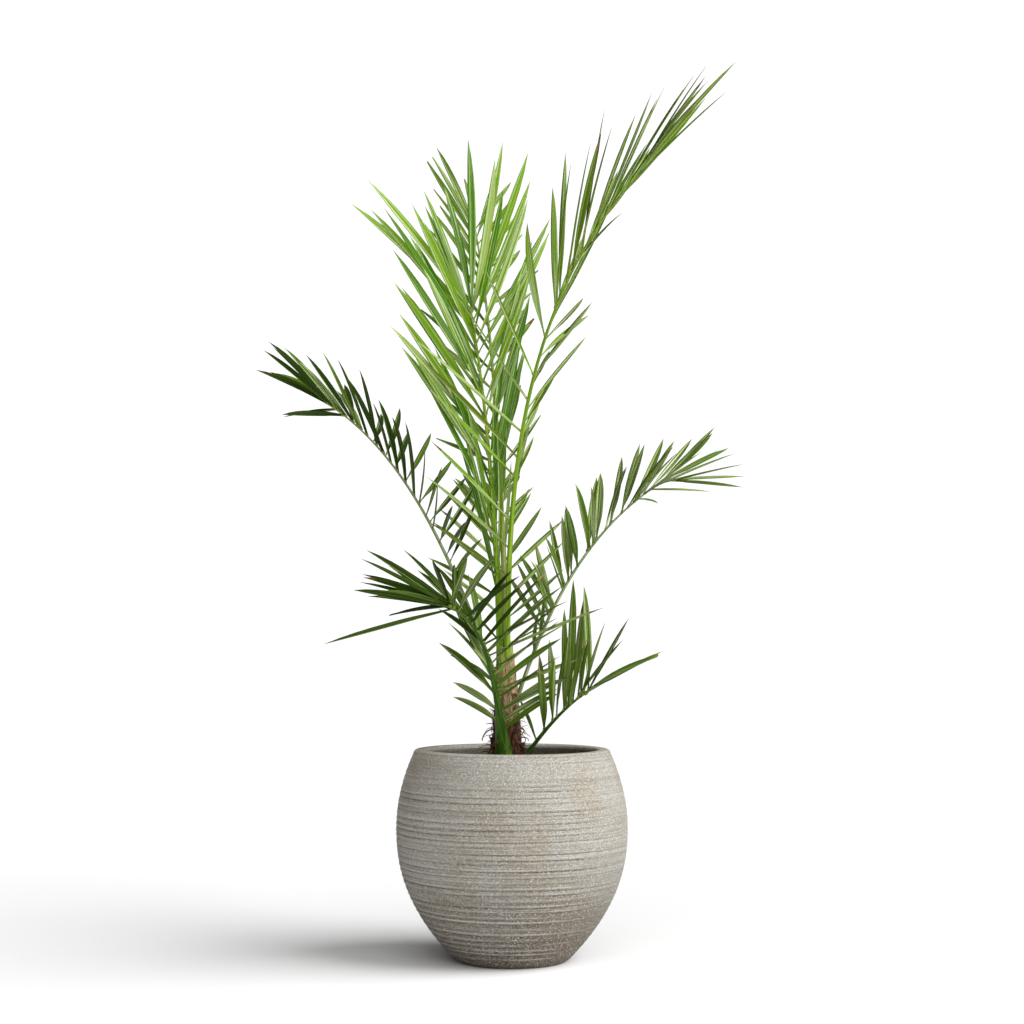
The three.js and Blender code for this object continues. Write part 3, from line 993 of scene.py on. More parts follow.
@dataclass(frozen=True)
class Strap:
    """A leaf sheath round the trunk.

    It has the angle of its middle, the heights of its foot and top, half of its opening angle at the foot,
    how far it stands proud, and what it is made of.
    """

    angle: float
    low: float
    high: float
    half: float
    thick: float
    wrap: Wrap
    narrowed: float = 0.45
    crease: float = 0.6
    ragged: float = 16.0


@dataclass
class Trunk:
    """The short fibrous trunk with the sheaths, the loose fibres and the dry strips that wrap it."""

    foot: float = 273.3
    top: float = 440.0
    lean_per_mm: float = -0.02
    axis_at: float = -6.0
    soil_top: float = 273.0
    flare: float = 8.0
    flare_height: float = 18.0
    foot_radius: float = 25.0
    top_radius: float = 15.0
    slimmer: float = 1.6
    sides: int = 56
    rings: int = 96
    scale_apart: float = 13.0
    strands: int = 360
    strand_seed: float = 21.0
    strand_steps: int = 7
    strand_heights: Pair = (292.0, 425.0)
    strand_lengths: Pair = (30.0, 9.0)
    curls: int = 72
    curl_seed: float = 47.0
    curl_steps: int = 8
    curl_heights: Pair = (298.0, 352.0)
    curl_lengths: Pair = (12.0, 34.0)
    curl_half_widths: Pair = (1.3, 3.0)
    curl_rises: Pair = (10.0, 80.0)
    curl_rolls: Pair = (60.0, 270.0)
    rooted: float = -1.0
    straps: tuple[Strap, ...] = (
        Strap(-70.0, 396.0, 444.0, 74.0, 2.6, Wrap.SHEATH),
        Strap(50.0, 392.0, 456.0, 74.0, 2.6, Wrap.SHEATH),
        Strap(170.0, 388.0, 440.0, 74.0, 2.6, Wrap.SHEATH),
        Strap(-118.0, 376.0, 462.0, 44.0, 3.4, Wrap.GREEN),
        Strap(-46.0, 428.0, 474.0, 34.0, 3.0, Wrap.GREEN),
        Strap(140.0, 362.0, 410.0, 66.0, 3.0, Wrap.SHEATH),
        Strap(20.0, 356.0, 416.0, 66.0, 3.0, Wrap.SHEATH),
        Strap(-95.0, 350.0, 404.0, 62.0, 3.0, Wrap.SHEATH),
        Strap(85.0, 326.0, 376.0, 60.0, 3.4, Wrap.HUSK),
        Strap(-30.0, 322.0, 378.0, 56.0, 3.4, Wrap.HUSK),
        Strap(200.0, 316.0, 366.0, 56.0, 3.4, Wrap.HUSK),
        Strap(-65.0, 296.0, 338.0, 44.0, 3.6, Wrap.HUSK),
        Strap(130.0, 294.0, 334.0, 50.0, 3.6, Wrap.HUSK),
    )

    def axis(self, height: float) -> float:
        """Returns the x of the trunk's axis at a height."""
        return self.axis_at + (height - self.soil_top) * self.lean_per_mm

    def radius(self, height: float) -> float:
        """Returns the trunk's radius at a height."""
        up = height - self.soil_top
        taper = mix(self.foot_radius, self.top_radius, up / (self.top - self.soil_top))
        return taper + self.flare * max(0.0, 1.0 - up / self.flare_height) ** 2

    def point(self, angle: float, height: float, out: float = 0.0) -> Vector:
        """Returns a point of the trunk's face, or out beyond it."""
        radius = self.radius(height) - self.slimmer + out
        return Vector((self.axis(height) + radius * math.cos(angle), radius * math.sin(angle), height))

    def _relief(self, angle: float, height: float) -> float:
        """Returns how far the fibrous face stands in or out at a place."""
        x, y = math.cos(angle), math.sin(angle)
        threads = rough(x * 11.0, y * 11.0, height / 26.0)
        scales = rough(x * 3.0, y * 3.0, height / 9.0 + 4.0)
        slant = height + 8.0 * math.sin(angle * 2.0 + 1.0)
        step = (slant / self.scale_apart) % 1.0
        return 0.9 * threads + 1.3 * scales + 1.6 * (step - 0.6)

    def _body(self) -> Mesh:
        """Makes the trunk itself."""

        def place(angle: float, share: float) -> Vector:
            """Gives a point of the relief, which fades out at both ends."""
            height = mix(self.foot, self.top, share)
            fade = min(1.0, 6.0 * share, 14.0 * (1.0 - share))
            return self.point(angle, height, self._relief(angle, height) * fade)

        return shaped_tube(self.sides, self.rings, place, mend=False)

    def _sheath(self, strap: Strap) -> Mesh:
        """Makes one leaf sheath: a broad strap that clasps the trunk and narrows to its stalk."""

        def place(turn: float, share: float) -> Vector:
            """Gives a point of the strap's oval section, bent round the trunk."""
            x, angle = math.cos(turn), strap.angle
            height = mix(strap.low, strap.high, share)
            narrowed = mix(strap.half, strap.narrowed * strap.half, ease(share))
            width = narrowed * mix(0.75, 1.0, ease(share * 4.0))
            crease = strap.crease * rough(x * 7.0, angle, height / 18.0)
            ragged = strap.ragged * rough(x * 5.0, angle, 3.0) * ease(share * 2.0 - 1.0)
            out = strap.thick * (0.3 + 0.7 * math.sin(turn)) * mix(0.45, 0.8, share) + crease
            return self.point(math.radians(angle + width * x), height + ragged, out)

        return shaped_tube(20, 18, place)

    def _strand(self, number: int) -> Mesh:
        """Makes one loose fibre that leaves the trunk and curls."""
        draw = Draw(self.strand_seed, number)
        steps = self.strand_steps
        up = draw.share(2) ** 1.8
        height = mix(*self.strand_heights, up)
        angle = math.pi * draw.swing(1)
        length = mix(*self.strand_lengths, up**0.5) * draw.between(3, 0.4, 1.5, 1.5)
        lift = 0.9 * draw.swing(4)
        curl = 4.0 * draw.swing(5)
        thick = draw.between(6, 0.5, 1.4, 2.0)
        outward, sideways = around(angle)
        points = [self.point(angle, height, self.rooted)]
        for step in range(steps):
            part = step / (steps - 1)
            turn = curl * part * part * 1.6
            rise = lift - 0.5 * part + 0.7 * math.cos(turn * 1.3) - 0.5
            along = outward * (0.75 - 0.5 * part) + sideways * math.sin(turn) + UP * rise
            points.append(points[-1] + along.normalized() * length / steps)

        def place(turn: float, share: float) -> Vector:
            """Gives a point of the fibre."""
            size = thick * (1.0 - 0.75 * share)
            return points[round(share * steps)] + (sideways * math.cos(turn) + UP * math.sin(turn)) * size

        return shaped_tube(3, steps, place)

    def _curl(self, number: int) -> Mesh:
        """Makes one dry strip that peels off the foot of the trunk and rolls over."""
        draw = Draw(self.curl_seed, number)
        steps = self.curl_steps
        angle = math.pi * draw.swing(1)
        height = draw.between(2, *self.curl_heights, 1.3)
        length = draw.between(3, *self.curl_lengths, 1.4)
        roll = math.radians(draw.between(4, *self.curl_rolls))
        half_width = draw.between(5, *self.curl_half_widths, 2.0)
        skew = 0.6 * draw.swing(6)
        rise = math.radians(draw.between(7, *self.curl_rises))
        outward, sideways = around(angle)
        points = [self.point(angle, height, self.rooted)]
        for step in range(steps):
            tilt = rise - roll * step / steps
            along = outward * math.cos(tilt) + UP * math.sin(tilt) + sideways * skew
            points.append(points[-1] + along.normalized() * length / steps)

        def place(turn: float, share: float) -> Vector:
            """Gives a point of the strip's flat section."""
            tilt = rise - roll * share
            size = half_width * (1.0 - 0.7 * share * share)
            proud = UP * math.cos(tilt) - outward * math.sin(tilt)
            section = sideways * math.cos(turn) + proud * 0.4 * math.sin(turn)
            return points[round(share * steps)] + section * size

        return shaped_tube(6, steps, place)

    def build(self, palette: Palette) -> Piece:
        """Builds the loose fibres and dry strips, and the trunk with its sheaths, which is returned."""
        mesh = self._body()
        wraps = list(Wrap)
        for strap in self.straps:
            append(mesh, self._sheath(strap), 1 + wraps.index(strap.wrap))
        materials = palette.pick("trunk_fibre", *(wrap.value for wrap in wraps))
        trunk = finish_piece("fibrous_trunk", mesh, materials, ["trunk"])
        loose = bmesh.new()
        for number in range(self.strands):
            append(loose, self._strand(number))
        for number in range(self.curls):
            append(loose, self._curl(number), 1)
        finish_piece("trunk_fibres", loose, palette.pick("strand", "old_husk"), ["trunk"])
        return trunk


@dataclass
class LeafBases:
    """The old cut leaf bases round the foot of the trunk."""

    trunk: Trunk
    count: int = 5
    first: float = 25.0
    turn: float = 137.5
    low: float = 288.0
    rise: float = 9.0
    length: float = 34.0
    ragged: float = 8.0
    half_width: float = 8.5
    half_depth: float = 5.0
    ridges: float = 0.22
    lean: float = 13.0
    hug: float = 2.0
    sunk: float = 3.4

    def _scale(self, index: int) -> Mesh:
        """Makes one scale: broad at its foot, ridged along, with a ragged cut top."""
        outward, sideways = around(math.radians(self.first + index * self.turn))
        lean = math.radians(self.lean)
        upward = UP * math.cos(lean) + outward * math.sin(lean)
        low = self.low + index * self.rise
        out = self.trunk.radius(low) - self.hug - self.sunk
        foot = Vector((self.trunk.axis(low), 0.0, low)) + outward * out

        def place(turn: float, share: float) -> Vector:
            """Gives a point of the scale."""
            x, y = math.cos(turn), math.sin(turn)
            ridge = 1.0 + self.ridges * rough(x * 7.0, y * 7.0, index + share * 2.5)
            size = mix(0.9, 0.5, ease(share)) * ridge
            ragged = self.ragged * rough(x * 4.0, y * 4.0, index * 9.0) * ease(share * 2.0 - 1.0)
            section = sideways * (x * self.half_width * size) + outward * (y * self.half_depth * size)
            return foot + upward * (share * self.length + ragged) + section

        return shaped_tube(28, 18, place)

    def build(self, palette: Palette) -> None:
        """Builds each leaf base as its own piece."""
        for index in range(self.count):
            name, node = f"leaf_base_scale_{index + 1}", f"leaf_base_{index + 1}"
            finish_piece(name, self._scale(index), palette.pick("old_husk"), [node])


@dataclass
class SpearLeaf:
    """The youngest leaf, still folded: a pleated spike that ends in a thread."""

    trunk: Trunk
    length: float = 262.0
    half_width: float = 2.3
    lean: float = 1.0
    azimuth: float = 180.0
    gap: float = 0.3
    pleats: int = 5
    pleat_depth: float = 0.14
    tip: float = 0.25

    def build(self, palette: Palette) -> Piece:
        """Builds the spear."""
        azimuth, lean = math.radians(self.azimuth), math.radians(self.lean)
        foot = Vector((self.trunk.axis(self.trunk.top), 0.0, self.trunk.top + self.gap))
        upward = Vector((math.cos(azimuth) * math.sin(lean), 0.0, math.cos(lean)))

        def place(turn: float, share: float) -> Vector:
            """Gives a point of the pleated spike."""
            pleat = 1.0 - self.pleat_depth * (1.0 - math.cos(self.pleats * turn + 2.0 * share))
            radius = self.half_width * mix(1.0, self.tip, share**1.3) * pleat
            return foot + upward * (share * self.length) + around(turn)[0] * radius

        mesh = shaped_tube(20, 24, place, mend=False)
        straw = palette.pick("spear_straw")
        return finish_piece("folded_spear_leaf", mesh, straw, ["spear_leaf"])


# The fronds


@dataclass(frozen=True)
class Wild:
    """The even rule of the source's leaflets and how far the seeded one strays from it."""

    along: float = 0.3
    spread: float = 9.0
    vee: float = 8.0
    length: float = 0.06
    twist: float = 16.0
    bow: float = 0.04
    peak: float = 0.35
    shrink_power: float = 1.5
    sunk: float = 0.45
    plain_bow: float = 0.03
    end_leaflet: float = 0.85
    turns: tuple[float, ...] = (0.0, 7.0, -7.0, 14.0, -14.0)


@dataclass(frozen=True)
class Looks:
    """The shares by which the looks of the leaflets differ: width, sweep, tips and tones."""

    full_from: float = 0.5
    width: float = 0.14
    closed: float = 0.85
    sweep: float = 0.035
    least_turned: float = 0.7
    blunt_chance: float = 0.75
    swap_chance: float = 0.25
    pale_chance: float = 0.5
    tan_chance: float = 0.5
    tip_shares: Pair = (0.05, 0.15)


class Channel(IntEnum):
    """What each of a leaflet's draws is for."""

    ALONG = 1
    SPREAD = 2
    VEE = 3
    LENGTH = 4
    TWIST = 5
    BOW = 6
    WIDTH = 7
    SWEEP = 8
    TONE = 9
    DRY = 10
    TAN = 11
    BLUNT = 12
    TIP = 13
    SWAP = 14
    TURNED = 15
    PALE_SHEEN = 16


WILD = Wild()
LOOKS = Looks()
LIGHT_SIDE = Vector((0.15, -0.85, 0.5)).normalized()


@dataclass(frozen=True)
class Row:
    """A frond's left or right row of leaflets, seen looking out along it.

    Spread and vee have their values evenly spaced from the bottom of the blade to its tip.
    """

    count: int
    start: float
    spread: tuple[float, ...]
    vee: tuple[float, ...]

    @staticmethod
    def at(values: Sequence[float], share: float) -> float:
        """Returns the value at a share of the blade."""
        place = share * (len(values) - 1)
        low = min(math.floor(place), len(values) - 2)
        return mix(values[low], values[low + 1], place - low)


@dataclass(frozen=True)
class Spray:
    """Some leaflets that stand out of their frond's rows, set evenly from a first one to a last one.

    Side is -1 for the right and 1 for the left. A pair holds the value of the first leaflet and of the last.
    """

    side: int
    count: int
    share: Pair
    spread: Pair
    vee: Pair
    length: Pair
    half_width: float | None = None
    blunt: float | None = None
    bow: float = WILD.plain_bow


@dataclass
class Stance:
    """A point of the rib with the directions along it, to its side and out of its upper face."""

    point: Vector
    along: Vector
    side: Vector
    face: Vector


@dataclass
class Leaflet:
    """One leaflet: where it stands on the rib, how it is turned and how it looks."""

    side: int
    share: float
    spread: float
    vee: float
    length: float
    twist: float
    bow: float
    number: int
    half_width: float = 6.0
    closed: float = 0.0
    sweep: float = 0.0
    turned: float = 0.0
    blunt: float = 0.0
    # The tones of the fold's right half and left half; where they differ, they are painted light on one half
    # and painted shade on the other.
    tone: Tone = Tone.MID
    other: Tone = Tone.MID
    tip: Tone | None = None
    tip_share: float = 0.0

    def along(self, stance: Stance, turn: float = 0.0) -> Vector:
        """Returns the direction in which it leaves the rib, raised by a turn in degrees."""
        spread, raised = math.radians(self.spread), math.radians(self.vee + turn)
        out = stance.side * (self.side * math.cos(raised)) + stance.face * math.sin(raised)
        if self.side == 0:
            out = stance.face
        return (stance.along * math.cos(spread) + out * math.sin(spread)).normalized()

    def root(self, stance: Stance, rib_half: float) -> Vector:
        """Returns the point at which it leaves a rib of half a width."""
        return stance.point + stance.side * (self.side * WILD.sunk * rib_half)


class Blade:
    """The folded leaf blade that is repeated for every leaflet: four corners round and ten faces along.

    Its tube has six columns of vertices, by their angles in degrees, but two pairs of them lie on one
    another, so two of its six sides are flat. Its right half is only half as wide as its left half.
    """

    RINGS = 10
    RIGHT, CREASE, LEFT, KEEL = range(4)
    COLUMNS = {-150: LEFT, -90: LEFT, -30: KEEL, 30: RIGHT, 90: CREASE, 150: CREASE}
    ACROSS = {RIGHT: 0.5, CREASE: 0.0, LEFT: -1.0, KEEL: 0.0}
    CROWDED = 1.25
    FULLER = 1.12
    WIDEST_AT = 0.42
    ROOT_WIDTH = 0.36
    TIP_POWER = 3.2
    KEEL_DEPTH = (1.5, 0.35)
    HOLLOW = 0.06
    OPENING_FOLD = 62.0
    OPEN_FOLD = (31.0, 24.0)
    OPEN_FROM = 0.3
    CLOSED_FOLD = 66.0
    NUMBER_STEP = 1.37

    def __init__(self) -> None:
        """Makes the template mesh with its UV map, its creases and the places of its corners."""
        mesh = unit_tube(6, self.RINGS)
        mesh.verts.ensure_lookup_table()
        self.corners = [self._corner(vert) for vert in mesh.verts]
        for edge in mesh.edges:
            first, second = (self.corners[vert.index][0] for vert in edge.verts)
            edge.smooth = first != second or first == self.RIGHT
        layer = mesh.loops.layers.uv.new("blade")
        for face in mesh.faces:
            for loop in face.loops:
                corner, share = self.corners[loop.vert.index]
                loop[layer].uv = (0.5 + 0.5 * self.ACROSS[corner], share)
            face.smooth = True
        self.polygons = [tuple(vert.index for vert in face.verts) for face in mesh.faces]
        self.places = [self._face_place(face) for face in mesh.faces]
        self.mesh = bpy.data.meshes.new("blade_template")
        mesh.to_mesh(self.mesh)
        mesh.free()

    def _corner(self, vert: bmesh.types.BMVert) -> tuple[int, float]:
        """Returns which of the four corners a vertex is, and its share of the length."""
        return self.COLUMNS[round(math.degrees(math.atan2(vert.co.y, vert.co.x)))], vert.co.z

    def _face_place(self, face: bmesh.types.BMFace) -> tuple[float, bool]:
        """Returns a face's share of the length, and whether it is of the blade's right half."""
        found = [self.corners[vert.index] for vert in face.verts]
        share = sum(place for _, place in found) / len(found)
        return share, sum(self.ACROSS[corner] for corner, _ in found) > 0.0

    def _width(self, share: float, blunt: float) -> float:
        """Returns the half width at a share of the length, as a share of the widest."""
        if share < self.WIDEST_AT:
            return mix(self.ROOT_WIDTH, 1.0, ease(share / self.WIDEST_AT))
        out = (share - self.WIDEST_AT) / (1.0 - self.WIDEST_AT)
        return max(blunt * (1.0 - 0.3 * out), 1.0 - out**self.TIP_POWER)

    def _fold(self, share: float, closed: float) -> float:
        """Returns how far each half is raised at a share of the length, in degrees."""
        opened = mix(self.OPENING_FOLD, mix(*self.OPEN_FOLD, share), ease(share / self.OPEN_FROM))
        return mix(opened, self.CLOSED_FOLD, closed)

    def points(self, leaflet: Leaflet, stance: Stance, rib_half: float, turn: float) -> list[Vector]:
        """Places the blade's corners by the source's rule.

        Args:
            leaflet: The leaflet.
            stance: The rib's stance where the leaflet stands.
            rib_half: Half the rib's width there.
            turn: How far the leaflet is turned to keep clear of its neighbours, in degrees.

        Returns:
            The points in metres, in the order of the template's vertices.
        """
        along = leaflet.along(stance, turn)
        face = stance.face.lerp(LIGHT_SIDE, leaflet.turned)
        facing = (face - along * face.dot(along)).normalized()
        facing.rotate(Quaternion(along, math.radians(leaflet.twist)))
        across = facing.cross(along)
        root = leaflet.root(stance, rib_half)
        places = []
        for corner, ring in self.corners:
            share = ring**self.CROWDED
            half = leaflet.half_width * self.FULLER * self._width(share, leaflet.blunt)
            fold = math.radians(self._fold(share, leaflet.closed))
            aside = self.ACROSS[corner]
            lift = abs(aside) * half * math.sin(fold)
            if corner == self.KEEL:
                lift = -mix(*self.KEEL_DEPTH, ease(share * 1.3))
            elif corner == self.RIGHT:
                lift -= self.HOLLOW * half
            centre = root + along * (share * leaflet.length)
            centre -= stance.face * (leaflet.bow * leaflet.length * share * share)
            centre += across * (leaflet.sweep * leaflet.length * share * share)
            places.append((centre + across * (aside * half * math.cos(fold)) + facing * lift) * MM)
        return places

    def add(self, target: Mesh, points: Sequence[Vector], leaflet: Leaflet, tones: Sequence[Tone]) -> None:
        """Adds a placed leaflet to a frond's leaflets, with its plain colours: one tone for each half of the
        fold, so that a lighter and a darker tone paint light on one half and shade on the other.

        Args:
            target: The frond's leaflets.
            points: The places of the blade's corners.
            leaflet: The leaflet.
            tones: The tones in the order of the piece's materials.
        """
        first_vert, first_face = len(target.verts), len(target.faces)
        target.from_mesh(self.mesh)
        target.verts.ensure_lookup_table()
        target.faces.ensure_lookup_table()
        layer = target.verts.layers.float.get("leaflet") or target.verts.layers.float.new("leaflet")
        for offset, point in enumerate(points):
            vert = target.verts[first_vert + offset]
            vert.co = point
            vert[layer] = leaflet.number * self.NUMBER_STEP
        for offset, (share, right) in enumerate(self.places):
            # Each half of the fold takes its own tone: a lighter one is painted light, a darker one painted
            # shade.
            tone = leaflet.tone if right else leaflet.other
            if leaflet.tip and share > 1.0 - leaflet.tip_share:
                tone = leaflet.tip
            target.faces[first_face + offset].material_index = tones.index(tone)


class Obstacles:
    """The points and faces of shapes that a leaflet has to keep clear of, by the name of their owner."""

    def __init__(self) -> None:
        """Starts with none."""
        self.shapes: dict[str, tuple[list[Vector], Polygons]] = {}

    @staticmethod
    def _join(points: list[Vector], faces: Polygons, more: Sequence[Vector], polygons: Polygons) -> None:
        """Adds more points and their faces to some points and faces."""
        faces += [tuple(index + len(points) for index in polygon) for polygon in polygons]
        points += more

    def add(self, owner: str, points: Sequence[Vector], polygons: Polygons) -> None:
        """Adds a shape to those of its owner."""
        own_points, own_faces = self.shapes.setdefault(owner, ([], []))
        self._join(own_points, own_faces, points, polygons)

    def around(self, owner: str) -> BVHTree:
        """Returns a tree of every shape but those of one owner."""
        points: list[Vector] = []
        faces: Polygons = []
        for name, (more, polygons) in self.shapes.items():
            if name != owner:
                self._join(points, faces, more, polygons)
        return BVHTree.FromPolygons(points, faces)


@dataclass(frozen=True)
class Foot:
    """Where a frond leaves the trunk: an angle round its axis, a distance out from it and a height."""

    angle: float
    out: float
    height: float


@dataclass
class Frond:
    """A feather frond: a stalk that goes on as the rib, and leaflets by the source's rule."""

    name: str
    slot: str
    azimuth: float
    turn: float
    foot: Foot
    stalk: float
    blade: float
    stem: float
    lean: Pair
    bend: float
    roll: Pair
    crowding: float
    leaflet: float
    first: float
    last: float
    half_width: float
    seed: int
    right: Row
    left: Row
    stem_finish: str
    # Pairs of tones for the halves of the leaflets' folds, with weights: a lighter and a darker tone paint
    # light on one half and shade on the other.
    tones: tuple[tuple[Tone, Tone, int], ...]
    blunt: float = 0.0
    closed_until: float = 0.15
    dry_tips: float = 0.06
    turned: float = 0.3
    pale_until: float = 0.0
    slim: float = 0.65
    sprays: tuple[Spray, ...] = ()
    steps: int = 24
    tip: float = 1.4
    depth: float = 0.8
    sheath: float = 1.15
    sheath_length: float = 35.0
    joint_length: float = 7.0
    joint_sunk: float = 1.0
    joint_girth: float = 0.27
    stances: list[Stance] = field(default_factory=list)

    @property
    def length(self) -> float:
        """The length of stalk and rib together."""
        return self.stalk + self.blade

    def grow_rib(self, trunk: Trunk) -> None:
        """Works out the stances along the rib, as the source does."""
        foot = self.foot
        outward = around(math.radians(foot.angle))[0]
        point = Vector((trunk.axis(foot.height), 0.0, foot.height)) + outward * foot.out
        for step in range(self.steps + 1):
            share = step / self.steps
            tilt = math.radians(mix(*self.lean, share**self.bend))
            ahead, side = around(math.radians(self.azimuth + self.turn * share))
            along = ahead * math.sin(tilt) + UP * math.cos(tilt)
            rolled = math.radians(mix(*self.roll, share))
            across = side * math.cos(rolled) - along.cross(side) * math.sin(rolled)
            self.stances.append(Stance(point, along, across, along.cross(across)))
            point = point + along * (self.length / self.steps)

    def stance(self, share: float) -> Stance:
        """Returns the stance at a share of the whole length."""
        place = min(max(share, 0.0), 1.0) * self.steps
        low = min(math.floor(place), self.steps - 1)
        part = place - low
        first, second = self.stances[low], self.stances[low + 1]
        return Stance(
            first.point.lerp(second.point, part),
            first.along.lerp(second.along, part).normalized(),
            first.side.lerp(second.side, part).normalized(),
            first.face.lerp(second.face, part).normalized(),
        )

    def rib_half(self, share: float) -> float:
        """Returns half the rib's width at a share of the whole length."""
        sheath = 1.0 + (self.sheath - 1.0) * max(0.0, 1.0 - share * self.length / self.sheath_length)
        return mix(self.stem, self.tip, share) * sheath

    def at(self, share: float) -> float:
        """Returns the share of the whole length at a share of the blade."""
        return (self.stalk + self.blade * share) / self.length

    def _rule(self, side: int, row: Row, place: int, index: int) -> Leaflet:
        """Draws one leaflet by the source's rule.

        Args:
            side: Its side of the rib, -1 for the right row or 1 for the left.
            row: Its row.
            place: Its place in the row, counted from the stalk.
            index: Its number, which seeds its draws.

        Returns:
            The leaflet.
        """
        draw = Draw(self.seed, index)
        shifted = (place + WILD.along * draw.swing(Channel.ALONG)) / (row.count - 1)
        crowded = 1.0 - (1.0 - min(max(shifted, 0.0), 1.0)) ** self.crowding
        share = mix(row.start, 1.0, crowded)
        grow = min(1.0, mix(self.first, 1.0, share / WILD.peak))
        past = max(0.0, (share - WILD.peak) / (1.0 - WILD.peak))
        size = grow * mix(1.0, self.last, past**WILD.shrink_power)
        return Leaflet(
            side=side,
            share=share,
            spread=max(1.0, row.at(row.spread, share) + WILD.spread * draw.swing(Channel.SPREAD)),
            vee=row.at(row.vee, share) + WILD.vee * draw.swing(Channel.VEE),
            length=self.leaflet * size * (1.0 + WILD.length * draw.swing(Channel.LENGTH)),
            twist=WILD.twist * draw.swing(Channel.TWIST),
            bow=WILD.plain_bow + WILD.bow * draw.swing(Channel.BOW),
            number=index,
        )

    def _dress(self, leaflet: Leaflet) -> None:
        """Deals out the draws that the source leaves to the looks: width, sweep, tones and tip."""
        draw = Draw(self.seed + 0.5, leaflet.number)
        slim = mix(self.slim, 1.0, min(1.0, leaflet.share / LOOKS.full_from))
        leaflet.half_width = self.half_width * slim * (1.0 + LOOKS.width * draw.swing(Channel.WIDTH))
        leaflet.closed = LOOKS.closed * (1.0 - ease(leaflet.share / self.closed_until))
        leaflet.sweep = LOOKS.sweep * draw.swing(Channel.SWEEP)
        leaflet.turned = self.turned * draw.between(Channel.TURNED, LOOKS.least_turned, 1.0)
        leaflet.blunt = self.blunt if draw.share(Channel.BLUNT) < LOOKS.blunt_chance else 0.0
        # Deals a pair of tones to the fold's halves, which paint light on one half and shade on the other
        # where they differ; some pairs are swapped.
        drawn = draw.share(Channel.TONE) * sum(weight for *_, weight in self.tones)
        for tone, other, weight in self.tones:
            drawn -= weight
            if drawn <= 0.0:
                leaflet.tone, leaflet.other = tone, other
                break
        if leaflet.share < self.pale_until:
            leaflet.tone = Tone.GREY
            leaflet.other = Tone.PALE_SHEEN if draw.share(Channel.PALE_SHEEN) < LOOKS.pale_chance else Tone.MID
        if draw.share(Channel.SWAP) < LOOKS.swap_chance:
            leaflet.tone, leaflet.other = leaflet.other, leaflet.tone
        if draw.share(Channel.DRY) < self.dry_tips:
            leaflet.tip = Tone.DRY if draw.share(Channel.TAN) < LOOKS.tan_chance else Tone.BROWN
            leaflet.tip_share = draw.between(Channel.TIP, *LOOKS.tip_shares)

    def _sprayed(self, spray: Spray, place: int, number: int) -> Leaflet:
        """Sets one leaflet of a spray.

        Args:
            spray: The spray.
            place: Its place in the spray, counted from the first.
            number: Its number, which seeds its looks.

        Returns:
            The leaflet.
        """
        part = place / max(1, spray.count - 1)
        share, spread = mix(*spray.share, part), mix(*spray.spread, part)
        vee, length = mix(*spray.vee, part), mix(*spray.length, part)
        leaflet = Leaflet(spray.side, share, spread, vee, length, 0.0, spray.bow, number)
        self._dress(leaflet)
        leaflet.half_width = spray.half_width or leaflet.half_width
        leaflet.blunt = leaflet.blunt if spray.blunt is None else spray.blunt
        return leaflet

    def leaflets(self) -> list[Leaflet]:
        """Returns every leaflet: those of the source's rows, the one at the end and those of the sprays."""
        made: list[Leaflet] = []
        for side, row in ((-1, self.right), (1, self.left)):
            for place in range(row.count):
                made.append(self._rule(side, row, place, len(made)))
        length = self.leaflet * self.last * WILD.end_leaflet
        made.append(Leaflet(0, 1.0, 0.0, 0.0, length, 0.0, WILD.plain_bow, len(made)))
        for leaflet in made:
            self._dress(leaflet)
        for spray in self.sprays:
            for place in range(spray.count):
                made.append(self._sprayed(spray, place, len(made)))
        return made

    def rib_mesh(self) -> Mesh:
        """Makes stalk and rib: rounded below, with a channel above that closes towards the tip."""
        mesh = unit_tube(12, 56)
        layer = mesh.loops.layers.uv.new("stem")
        for face in mesh.faces:
            angles = [math.atan2(loop.vert.co.y, loop.vert.co.x) / math.tau for loop in face.loops]
            wraps = max(angles) - min(angles) > 0.6
            for loop, angle in zip(face.loops, angles):
                loop[layer].uv = (angle + 1.0 if wraps and angle < 0.0 else angle, loop.vert.co.z)

        def place(turn: float, share: float) -> Vector:
            """Gives a point of the rib."""
            stance = self.stance(share)
            half = self.rib_half(share)
            x, y = math.cos(turn), math.sin(turn)
            if y > 0.0:
                y *= mix(0.45, 0.9, share) - mix(0.4, 0.0, ease(share * 1.4)) * (1.0 - abs(x))
            return stance.point + stance.side * (x * half) + stance.face * (y * half * self.depth)

        reshape(mesh, place)
        return mesh

    def _joint(self, leaflet: Leaflet, stance: Stance, rib_half: float) -> Mesh:
        """Makes the small swelling at a leaflet's root."""
        along = leaflet.along(stance)
        across = stance.face.cross(along).normalized()
        upward = along.cross(across)
        root = leaflet.root(stance, rib_half) - along * self.joint_sunk
        size = self.joint_girth * leaflet.half_width

        def place(turn: float, share: float) -> Vector:
            """Gives a point of the swelling."""
            girth = size * (0.55 + 0.45 * math.sin(math.pi * (0.15 + 0.75 * share)))
            section = across * (math.cos(turn) * girth) + upward * (math.sin(turn) * girth)
            return root + along * (self.joint_length * share) + section

        return shaped_tube(6, 3, place, mend=False)

